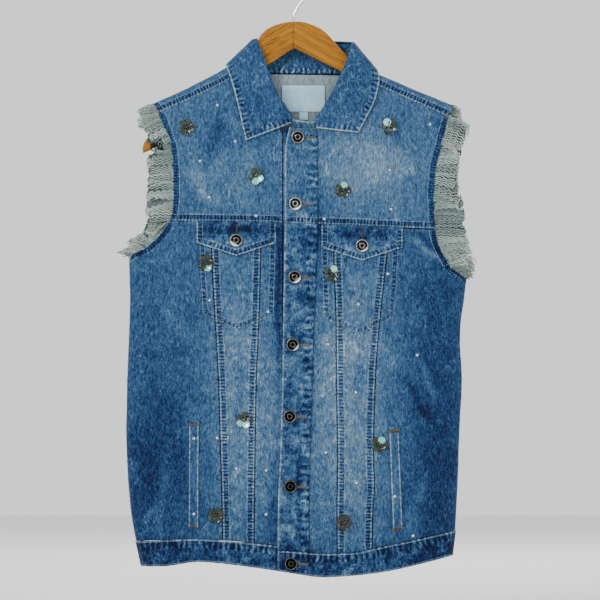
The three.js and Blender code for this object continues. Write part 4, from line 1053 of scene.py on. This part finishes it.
def inset_row(node_name, chain, inset, others):
    """A row of stitches at an inset from an edge, as points and normals on the cloth."""
    skin = SKINS[node_name]
    line = smooth_line(resample(chain, 1.0 * MM), 2)
    ahead = unit(np.gradient(line, axis=0))
    side = unit(np.cross([skin.find_nearest(Vector(p))[1] for p in line], ahead))
    # the side on which the cloth goes on is the one to move to
    off_cloth = [[skin.find_nearest(Vector(p))[3] for p in (line + side * far)[::5]]
                 for far in (PROBE, -PROBE)]
    votes = sum(1 if there < here else -1 for there, here in zip(*off_cloth))
    moved = line + side * inset * (1 if votes > 0 else -1)
    spots, facing = [], []
    for point in moved:
        place, normal, _, _ = skin.find_nearest(Vector(point))
        spots.append(place)
        facing.append(normal)
    spots, facing = np.array(spots), np.array(facing)
    keep = np.ones(len(spots), bool)
    for other in others:
        keep &= near_chain(spots, other)[0] > inset - ROW_SLACK
    return spots[keep], facing[keep]


def sew(spots, facing, where="front"):
    """Stitches along a row of points."""
    if len(spots) < 4:
        return
    run = run_along(spots)
    for start in np.arange(ROW_SLACK, run[-1] - STITCH, STITCH_PITCH):
        at = start + STITCH * STITCH_SHARES
        if np.any(np.diff(run[np.searchsorted(run, [start, start + STITCH])]) > 3 * STITCH):
            continue
        point = np.stack([np.interp(at, run, spots[:, i]) for i in range(3)], axis=1)
        normal = np.stack([np.interp(at, run, facing[:, i]) for i in range(3)], axis=1)
        THREADS[where].append((point + normal * STITCH_LIFTS[:, None], PALE))


for node_name, edges in CHAINS.items():
    where = "back" if "back" in node_name else "front"
    for i, (way, chain) in enumerate(edges):
        for inset in SEWN[way]["rows"]:
            others = [c for j, (w, c) in enumerate(edges) if j != i and inset in SEWN[w]["rows"]]
            sew(*inset_row(node_name, chain, inset * MM, others), where=where)
print("stitches on edges", {where: len(threads) for where, threads in THREADS.items()})

# %% [markdown]
# The outline of each chest pocket's bag is stitched through the front in two rows, and the yoke's
# seam runs on across the placket. Buttonholes and bartacks are dense short threads in tan.

# %% Pocket outlines, buttonholes and bartacks
FRONT_REACH = 0.2
SEAM_SHIFTS = (0, 0.6, -0.6, 1.5, -1.5)  # tried in turn in mm, as a ray can pass between two pieces
LOWER_FRONTS = [f"{part}_{side}" for part in ("side_front", "middle_front", "centre_front")
                for side in ("left", "right")]
DENSE_PITCH = 0.62  # in mm
BAG_ROWS = (0.8, 7.0)
YOKE_ROWS_ON_PLACKET = ((-13, -313.0, 29, -314.6), (-13, -319.6, 29, -321.4))


def seat(x, z, names):
    """The point of the named cloth pieces nearest the viewer at x and z in mm, and its normal."""
    for shift in SEAM_SHIFTS:
        start = Vector(((x + shift) * MM, -FRONT_REACH, (z + shift) * MM))
        hits = [SKINS[name].ray_cast(start, Vector((0, 1, 0))) for name in names]
        hits = [hit for hit in hits if hit[0] is not None]
        if hits:
            break
    place, normal, _, _ = min(hits, key=lambda hit: hit[3])
    return np.array(place), np.array(normal) * (1 if normal.y < 0 else -1)


def seated_line(corners, names, step=1.0):
    """A straight-sided line given in x and z in mm, laid on cloth."""
    flat = resample(np.array([(x, 0, z) for x, z in corners], float), step)
    seats = [seat(x, z, names) for x, _, z in flat]
    return np.array([place for place, _ in seats]), np.array([normal for _, normal in seats])


def inset_corners(corners, inset):
    """The corners of an open outline moved inwards, to the left of its run."""
    corners = np.array(corners, float)
    ahead = unit(np.diff(corners, axis=0))
    side = np.stack([-ahead[:, 1], ahead[:, 0]], axis=1)
    moved = [corners[0] + side[0] * inset]
    for i in range(1, len(corners) - 1):
        middle = side[i - 1] + side[i]
        moved.append(corners[i] + middle * inset * 2 / (middle @ middle))
    moved.append(corners[-1] + side[-1] * inset)
    return [tuple(corner) for corner in moved]


for side, outline in BAG_OUTLINES.items():
    for inset in BAG_ROWS:
        sew(*seated_line(inset_corners(outline, inset), LOWER_FRONTS))
for x1, z1, x2, z2 in YOKE_ROWS_ON_PLACKET:
    sew(*seated_line([(x1, z1), (x2, z2)], ["placket"]))


def dense_threads(x1, z1, x2, z2, half, names, tones, lift=0.0):
    """Short threads side by side across a line from (x1, z1) to (x2, z2), in mm."""
    span = np.array([x2 - x1, z2 - z1])
    length = np.linalg.norm(span)
    ahead = span / length
    across = np.array([-ahead[1], ahead[0]])
    for i in range(int(length / DENSE_PITCH) + 1):
        middle = np.array([x1, z1]) + ahead * i * DENSE_PITCH
        ends = [middle + across * half * k + ahead * 0.25 * k for k in (-1, -0.6, 0.6, 1)]
        spots, normals = zip(*[seat(x, z, names) for x, z in ends])
        line = np.array(spots) + np.array(normals) * (STITCH_LIFTS[:, None] * 1.3 + lift * MM)
        THREADS["front"].append((line, tones[i % len(tones)]))


LIP_SHIFT = 0.72  # of a buttonhole's lips from its slit, in mm


def buttonhole(x1, z1, x2, z2, names, tones):
    """A slit with a row of threads along each lip, and a dark thread down it as its painted shadow."""
    span = np.array([x2 - x1, z2 - z1])
    ahead = span / np.linalg.norm(span)
    across = np.array([-ahead[1], ahead[0]]) * LIP_SHIFT
    for lip in (-1, 1):
        ax, az = across * lip
        dense_threads(x1 + ax, z1 + az, x2 + ax, z2 + az, 0.6, names, tones)
    spots, normals = seated_line([(x1, z1), (x2, z2)], names, 2.0)
    THREADS["front"].append((np.array(resample(spots + normals * 0.1 * MM, 10 * MM)[[0, 0, -1, -1]]), SLIT_SHADOW))


BUTTONS = sorted(name for name in NODES if name.startswith("button_"))
BUTTON_PLACES = {name: np.mean(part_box(name), axis=0) / MM for name in BUTTONS}
for name, (x, _, z) in BUTTON_PLACES.items():
    if "flap" in name:
        side = name.rsplit("_", 1)[1]
        buttonhole(x + 0.5, z + 8, x + 1.0, z + 20, [f"pocket_flap_{side}"], (UMBER, 0.2, 0.34))
    else:
        buttonhole(x + 7, z - 0.3, x + 22, z - 1.0, ["placket", "band_front_right"], (TAN, 0.4, 0.53))
for x1, x2, z in ((-138, -123.4, -583.5), (-138, -123.4, -716.5)):
    dense_threads(x1, z, x2, z, 1.7, ["welt_left", "side_front_left"], (UMBER, 0.32, 0.4), lift=0.25)
for x1, z1, x2, z2 in ((121.5, -593.5, 137.2, -589.5), (126.6, -721, 142.2, -716.5)):
    dense_threads(x1, z1, x2, z2, 1.8, ["welt_right", "side_front_right"], (UMBER, 0.42, TAN), lift=0.25)
dense_threads(195.5, -180.5, 200.5, -183, 1.6, ["back_yoke", "front_yoke_right"], (TAN, 0.44), lift=0.25)

for where, threads in THREADS.items():
    verts, faces = tubes([line for line, _ in threads], THREAD_RADIUS)
    made = add_mesh(f"stitching_{where}", verts, faces, THREAD)
    write_attribute(made.data, "tone", np.repeat([tone for _, tone in threads], 4 * 3))
    print(made.name, len(threads), "threads")

# %% [markdown]
# A shank button is a pressed metal cap: a turned-over rim, a hollow ring and a raised boss with a
# dimple in its middle. One is modelled, and copies of it are set where the solids' buttons lie.

# %% Buttons
BUTTON_RADIUS = 8.5 * MM
CAP_HIGH = 3.4 * MM
SOFT_EDGE = 0.18 * MM
# steps of the cap's face from the rim inwards: (inset, rise) in mm
CAP_STEPS = ((0.5, 0.45), (0.9, 0.1), (0.5, -0.55), (2.3, -0.35), (0.3, 0.55), (0.9, 0.25), (0.7, -0.1),
             (0.3, -0.55))


def metal_material():
    material, tree, shader = new_material("button_metal")
    place = own_place(tree)
    age = stretched(tree, place, (420, 420, 420), 3.0, 0.6)
    height = attribute(tree, "relief")
    shade = plus(tree, times(tree, height, 0.8), age, 0.3)
    shade = maths(tree, "ADD", shade, attribute(tree, "tone"))
    colour = ramp(tree, shade, ((0.3, linear(14, 14, 14)), (0.66, linear(48, 48, 48)),
                                (0.9, linear(150, 151, 150)), (1.0, linear(214, 215, 214))))
    tree.links.new(spread(tree, age, 0.3, 0.7, 0.12, 0.28), shader.inputs["Roughness"])
    # a painted reflection: a pale glow low on the brighter caps
    gleam = spread(tree, attribute(tree, "gleam"), 0.42, 0.8)
    glow = ramp(tree, gleam, ((0.0, (0, 0, 0)), (1.0, linear(190, 186, 176))))
    tree.links.new(glow, shader.inputs["Emission Color"])
    finish_shader(tree, shader, colour, Metallic=1.0, Emission_Strength=4.0)
    return material


METAL = metal_material()


def cap_template():
    """The cap of a button, facing up, its foot at the origin."""
    deselect_all()
    bpy.ops.mesh.primitive_cylinder_add(vertices=40, radius=BUTTON_RADIUS, depth=CAP_HIGH,
                                        location=(0, 0, CAP_HIGH / 2))
    cap = bpy.context.object
    bpy.ops.object.transform_apply(location=True, rotation=False, scale=False)
    bpy.ops.object.mode_set(mode="EDIT")
    select_faces(cap, lambda face: face.normal.z > 0.9)
    for inset, rise in CAP_STEPS:
        bpy.ops.mesh.inset(thickness=inset * MM, depth=rise * MM)
    bpy.ops.object.mode_set(mode="OBJECT")
    shape_by(cap, "BEVEL", width=SOFT_EDGE, segments=2, limit_method="ANGLE")
    return cap


def copies(template, placings, name, material, replaces=(), tones=None, smooth=True):
    """One joined mesh of a template set in many places."""
    points = np.array([v.co for v in template.data.vertices])
    faces = [tuple(f.vertices) for f in template.data.polygons]
    verts, joined = [], []
    for placing in placings:
        matrix = np.array(placing)
        offset = sum(len(v) for v in verts)
        verts.append(points @ matrix[:3, :3].T + matrix[:3, 3])
        joined += [tuple(offset + i for i in face) for face in faces]
    made = add_mesh(name, np.concatenate(verts), joined, material, replaces, smooth)
    if tones is not None:
        write_attribute(made.data, "tone", np.repeat(tones, len(points)))
    return made


def facing_matrix(place, normal, turn=0.0, size=1.0):
    """A placing that turns +Z of a template to a normal."""
    turned = Vector(normal).to_track_quat("Z", "Y").to_matrix().to_4x4()
    return Matrix.Translation(Vector(place)) @ turned @ Matrix.Rotation(turn, 4, "Z") @ Matrix.Scale(size, 4)


def button_frame(node_name):
    """Foot and outward direction of a button's solid."""
    points = np.array([v.co for v in NODES[node_name].data.vertices])
    points = np.unique(points.round(6), axis=0)
    middle = points.mean(axis=0)
    normal = np.linalg.eigh(np.cov((points - middle).T))[1][:, 0]
    normal *= -1 if normal[1] > 0 else 1
    return middle + normal * ((points - middle) @ normal).min(), normal


# how much brighter a button is than the usual dark one
BRIGHTER = {"button_front_1": 0.08, "button_front_2": 0.16, "button_front_3": 0.04,
            "button_flap_left": 0.06, "button_flap_right": 0.12, "button_hem": -0.06,
            "button_front_6": -0.06}
# how strongly a cap's painted gleam glows, and the direction in which it lies on the cap
PAINTED_GLEAMS = {"button_flap_left": (1.0, (-0.5, 0, -0.86)), "button_front_3": (1.0, (0.62, 0, -0.78)),
          "button_front_2": (0.9, (0.4, 0, -0.92)), "button_flap_right": (0.8, (0.5, 0, -0.86)),
          "button_front_4": (0.8, (0.75, 0, -0.66))}
cap = cap_template()
for name in BUTTONS:
    foot, normal = button_frame(name)
    tone = [BRIGHTER.get(name, 0.0)]
    placing = [facing_matrix(foot, normal, turn=len(name))]
    made = copies(cap, placing, f"cap_{name}", METAL, [name], tone)
    points = np.array([v.co for v in made.data.vertices])
    high = (points - foot) @ normal
    write_attribute(made.data, "relief", np.clip((high - CAP_HIGH + 0.5 * MM) / (1.2 * MM), 0, 1))
    sideways = (points - foot) / BUTTON_RADIUS
    strength, toward = PAINTED_GLEAMS.get(name, (0, (0, 0, 0)))
    ring = np.linalg.norm(sideways * (1, 0, 1), axis=1)
    gleam = strength * np.clip(sideways @ np.array(toward), 0, 1) * (ring > 0.35) * (ring < 0.93)
    write_attribute(made.data, "gleam", gleam)
bpy.data.objects.remove(cap)
print("buttons", len(BUTTONS), "with", len(made.data.polygons), "faces each")

# %% [markdown]
# Ten flowers of five see-through sequins each, with a dark bead in the middle, and cut stones are
# scattered over the front. They are set on the creased cloth, on whichever piece lies on top.

# %% Flowers
FLOWERS = ((-139.8, -196.5), (-49.4, -260), (123.5, -196), (63.7, -278.4), (-114, -372.7),
           (49.4, -387.6), (-65, -577.4), (110.5, -608.6), (-101.4, -701), (65, -710.7))  # x and z in mm
PETAL_RADIUS = 4.7 * MM
PETAL_WALL = 0.25 * MM
PETAL_STEPS = ((1.1, -0.5), (1.4, -0.25), (1.5, -0.05))  # (inset, rise) in mm from the rim inwards
PETAL_OUT = 6.6 * MM
BEAD_RADIUS = 2.3 * MM
PAINTED_GLINTS = {1: (2, 3), 2: (0, ), 3: (1, ), 4: (3, ), 5: (4, ), 6: (1, 2), 7: (4, )}  # petals with a painted glint
SHOWN_CLOTH = [name for name in CLOTH if "back" not in name and "bag" not in name]


def sequin_material():
    material, tree, shader = new_material("sequin")
    tone = attribute(tree, "tone")
    # the top tones, teal to near white, are painted glints
    colour = ramp(tree, tone, ((0.0, linear(42, 36, 18)), (0.3, linear(54, 60, 26)),
                               (0.6, linear(26, 72, 46)), (0.85, linear(56, 200, 154)),
                               (1.0, linear(190, 240, 235))))
    finish_shader(tree, shader, colour, Roughness=0.16, Metallic=0.45, Coat_Weight=0.7)
    tree.links.new(spread(tree, tone, 0.5, 0.9, 0.62, 1.0), shader.inputs["Alpha"])
    return material


def bead_material():
    material, tree, shader = new_material("bead")
    shader.inputs["Base Color"].default_value = (*linear(26, 34, 66), 1)
    shader.inputs["Metallic"].default_value = 0.6
    shader.inputs["Roughness"].default_value = 0.12
    shader.inputs["Coat Weight"].default_value = 1.0
    return material


def petal_template():
    """A dished sequin with its middle at the origin."""
    deselect_all()
    bpy.ops.mesh.primitive_circle_add(vertices=18, radius=PETAL_RADIUS, fill_type="NGON")
    petal = bpy.context.object
    bpy.ops.object.mode_set(mode="EDIT")
    bpy.ops.mesh.select_all(action="SELECT")
    for inset, rise in PETAL_STEPS:
        bpy.ops.mesh.inset(thickness=inset * MM, depth=rise * MM)
    bpy.ops.object.mode_set(mode="OBJECT")
    shape_by(petal, "SOLIDIFY", thickness=PETAL_WALL)
    return petal


def bead_template():
    deselect_all()
    bpy.ops.mesh.primitive_ico_sphere_add(subdivisions=2, radius=1.0)
    return bpy.context.object


petal, bead = petal_template(), bead_template()
rng = np.random.default_rng(5)
petal_places, petal_tones, bead_places = [], [], []
for i, (x, z) in enumerate(FLOWERS):
    place, normal = seat(x, z, SHOWN_CLOTH)
    normal = Vector((normal[0] * 0.4, -1, normal[2] * 0.4)).normalized()
    turn = rng.uniform(0, TURN)
    for k in range(5):
        angle = turn + k * 2 * math.pi / 5 + rng.normal(0, 0.1)
        out = Vector((math.cos(angle), 0, math.sin(angle)))
        lean = (normal - out * rng.uniform(0.15, 0.45)).normalized()
        spot = Vector(place) + out * PETAL_OUT * rng.uniform(0.9, 1.05) + normal * rng.uniform(1.6, 2.6) * MM
        petal_places.append(facing_matrix(spot, lean, angle, rng.uniform(0.92, 1.08)))
        # a petal with a painted glint gets one of the brightest tones
        low, high = (0.85, 1.0) if k in PAINTED_GLINTS.get(i, ()) else (0.0, 0.55)
        petal_tones.append(rng.uniform(low, high))
    centre = Vector(place) + normal * 3.0 * MM
    bead_places.append(facing_matrix(centre, normal, turn, BEAD_RADIUS))
    for _ in range(3):
        shift = Vector((rng.uniform(-2.6, 2.6), rng.uniform(-1.0, 0), rng.uniform(-2.6, 2.6))) * MM
        size = rng.uniform(0.5, 0.7) * BEAD_RADIUS
        bead_places.append(facing_matrix(centre + shift, normal, turn, size))
copies(petal, petal_places, "flower_petals", sequin_material(), tones=petal_tones)
copies(bead, bead_places, "flower_beads", bead_material(), smooth=False)
for template in (petal, bead):
    bpy.data.objects.remove(template)
print("flowers", len(FLOWERS), "petals", len(petal_places))

# %% Stones
# where the stones lie, in pixels of the photograph
STONES_PX = ((217, 105), (235, 141), (200, 161), (209, 197), (256, 216), (430, 124), (390, 170), (391, 209),
             (324, 219), (388, 274), (209.5, 300), (268, 312), (358.5, 304), (328, 344), (417, 355),
             (355.6, 392.4), (194, 438.6), (217, 438), (326, 452.5), (236, 468.6), (266, 470),
             (356.5, 483), (395, 496.5), (194, 514), (266, 514), (413, 536))
PX = 1.3  # mm of the cloth to one pixel of the photograph
PX_MIDDLE, PX_TOP = 294, -31.4  # the column of the vest's middle in pixels, and the top row's height in mm
STONE_RADIUS = 2.3 * MM
STONE_HIGH = 1.4  # in mm
STONE_SHADE = 0.45  # how much darker a stone's painted shade makes it over each mm towards one side


def stone_material():
    material, tree, shader = new_material("rhinestone")
    colour = ramp(tree, attribute(tree, "tone"), ((0.0, linear(40, 52, 70)), (0.5, linear(150, 164, 176)),
                                                  (1.0, linear(250, 252, 255))))
    # the stones glow faintly, a painted glow, in the colour of their painted light and shade
    tree.links.new(colour, shader.inputs["Emission Color"])
    finish_shader(tree, shader, colour, Emission_Strength=0.35, Metallic=0.3, Roughness=0.08,
                  Coat_Weight=1.0)
    return material


def stone_template():
    """A round stone: a girdle, eight slanting facets and a flat table."""
    deselect_all()
    bpy.ops.mesh.primitive_cone_add(vertices=8, radius1=STONE_RADIUS, radius2=STONE_RADIUS * 0.5,
                                    depth=1.1 * MM, location=(0, 0, 0.85 * MM))
    stone = bpy.context.object
    bpy.ops.object.transform_apply(location=True, rotation=False, scale=False)
    bpy.ops.object.mode_set(mode="EDIT")
    select_faces(stone, lambda face: face.normal.z < -0.9)
    bpy.ops.mesh.extrude_region_move(TRANSFORM_OT_translate={"value": (0, 0, -0.5 * MM)})
    bpy.ops.object.mode_set(mode="OBJECT")
    return stone


stone = stone_template()
stone_places = []
for px, py in STONES_PX:
    place, normal = seat((px - PX_MIDDLE) * PX, PX_TOP - PX * py, SHOWN_CLOTH)
    stone_places.append(facing_matrix(place, normal, px))
made = copies(stone, stone_places, "stones", stone_material(), smooth=False)
corners = np.array([v.co for v in stone.data.vertices]) / MM
tone = corners[:, 2] / STONE_HIGH - STONE_SHADE * np.clip(corners[:, 0], 0, 2)  # painted light on top and painted shade on one side
write_attribute(made.data, "tone", np.tile(np.clip(tone, 0, 1), len(stone_places)))
bpy.data.objects.remove(stone)
print("stones", len(stone_places))

# %% [markdown]
# The two labels, the hanger and its hook keep their solids. The labels are bare satin. The hanger is
# varnished wood with long grain along the arms and a glue joint in the middle, its hook bright wire.

# %% Labels, hanger and hook
def satin_material():
    material, tree, shader = new_material("satin")
    place = own_place(tree)
    weave = stretched(tree, place, (1400, 1400, 300), 2.0, 0.6)
    soft = stretched(tree, place, (60, 60, 60), 2.0, 0.5)
    shade = plus(tree, times(tree, weave, 0.4), soft, 0.6)
    colour = ramp(tree, shade, ((0.3, linear(150, 196, 224)), (0.5, linear(180, 220, 244)),
                                (0.7, linear(208, 238, 254))))
    finish_shader(tree, shader, colour, (shade, 0.4, 0.0005), Roughness=0.42)
    return material


def wood_material():
    material, tree, shader = new_material("wood")
    place = own_place(tree)
    apart = node(tree, "ShaderNodeSeparateXYZ", {"Vector": place})
    side = maths(tree, "ABSOLUTE", maths(tree, "ADD", apart.outputs["X"], 0.001))
    level = plus(tree, apart.outputs["Z"], side, 0.55)
    along = node(tree, "ShaderNodeCombineXYZ", {
        "X": apart.outputs["X"], "Y": apart.outputs["Y"], "Z": level}).outputs[0]
    grain = stretched(tree, along, (14, 60, 260), 5.0, 0.6)
    fine = stretched(tree, along, (60, 400, 900), 3.0, 0.6)
    pores = spread(tree, stretched(tree, along, (90, 700, 900), 2.0, 0.5), 0.62, 0.7)
    shade = plus(tree, times(tree, grain, 0.7), fine, 0.3)
    shade = plus(tree, shade, pores, -0.14)
    joint = spread(tree, side, 0.0002, 0.0009, 0.22, 0.0)
    shade = maths(tree, "SUBTRACT", shade, joint)
    # dark specks on the left arm, and painted shade as a dark band near each tip
    specks = spread(tree, stretched(tree, along, (50, 300, 420), 2.0, 0.6), 0.52, 0.7)
    on_left = spread(tree, apart.outputs["X"], -0.004, 0.0, 0.24, 0.06)
    shade = maths(tree, "SUBTRACT", shade, times(tree, specks, on_left))
    painted_tip_shade = times(tree, spread(tree, side, 0.165, 0.17),
                 spread(tree, side, 0.184, 0.187, 1.0, 0.0))
    shade = plus(tree, shade, painted_tip_shade, -0.7)
    colour = ramp(tree, shade, ((0.0, linear(16, 10, 2)), (0.25, linear(92, 56, 4)),
                                (0.42, linear(140, 88, 4)), (0.55, linear(168, 110, 6)),
                                (0.75, linear(190, 132, 14))))
    finish_shader(tree, shader, colour, (shade, 0.15, 0.0004), Roughness=0.42, Specular_IOR_Level=0.25)
    return material


def steel_material():
    material, tree, shader = new_material("hook_steel")
    place = own_place(tree)
    wear = stretched(tree, place, (300, 300, 300), 2.0, 0.5)
    colour = ramp(tree, wear, ((0.3, linear(186, 188, 192)), (0.7, linear(222, 224, 226))))
    finish_shader(tree, shader, colour, Metallic=1.0, Roughness=0.16)
    return material


def dress(names, material):
    for name in names:
        NODES[name].data.materials.clear()
        NODES[name].data.materials.append(material)


dress(["label_main", "label_size"], satin_material())
dress(["hanger"], wood_material())
dress(["hook"], steel_material())
print("labels, hanger and hook dressed")

for piece, flat_area in SHEETS:
    low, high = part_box(piece.name[len("cloth_"):])
print("sheets declared", len(SHEETS))

# %% Stage and light
FLOOR_DROP = 60 * MM


def add_floor():
    bpy.ops.mesh.primitive_plane_add(size=8, location=(0, 0, cad_box[0][2] - FLOOR_DROP))
    floor = bpy.context.object
    floor.name = "floor"
    material, tree, shader = new_material("floor")
    shader.inputs["Base Color"].default_value = (0.82, 0.82, 0.82, 1)
    shader.inputs["Roughness"].default_value = 0.9
    floor.data.materials.append(material)


def add_light(name, place, aim, size, power):
    data = bpy.data.lights.new(name, "AREA")
    data.shape = "DISK"
    data.size = size
    data.energy = power
    light = add_object(name, data)
    light.location = place
    light.rotation_euler = (Vector(aim) - Vector(place)).to_track_quat("-Z", "Y").to_euler()


deselect_all()
add_floor()
MIDDLE = (FIELD_MIDDLE.x, 0, FIELD_MIDDLE.z)
add_light("key", (-1.3, -1.9, 0.9), MIDDLE, 1.2, 36 * LIGHT)
add_light("fill", (1.9, -1.7, -0.2), MIDDLE, 1.6, 10 * LIGHT)
add_light("rear", (0.4, 2.2, 0.9), MIDDLE, 1.6, 26 * LIGHT)
world = bpy.data.worlds.new("studio")
world.use_nodes = True
world.node_tree.nodes["Background"].inputs["Color"].default_value = (0.95, 0.96, 0.97, 1)
world.node_tree.nodes["Background"].inputs["Strength"].default_value = 0.85 * LIGHT
bpy.context.scene.world = world
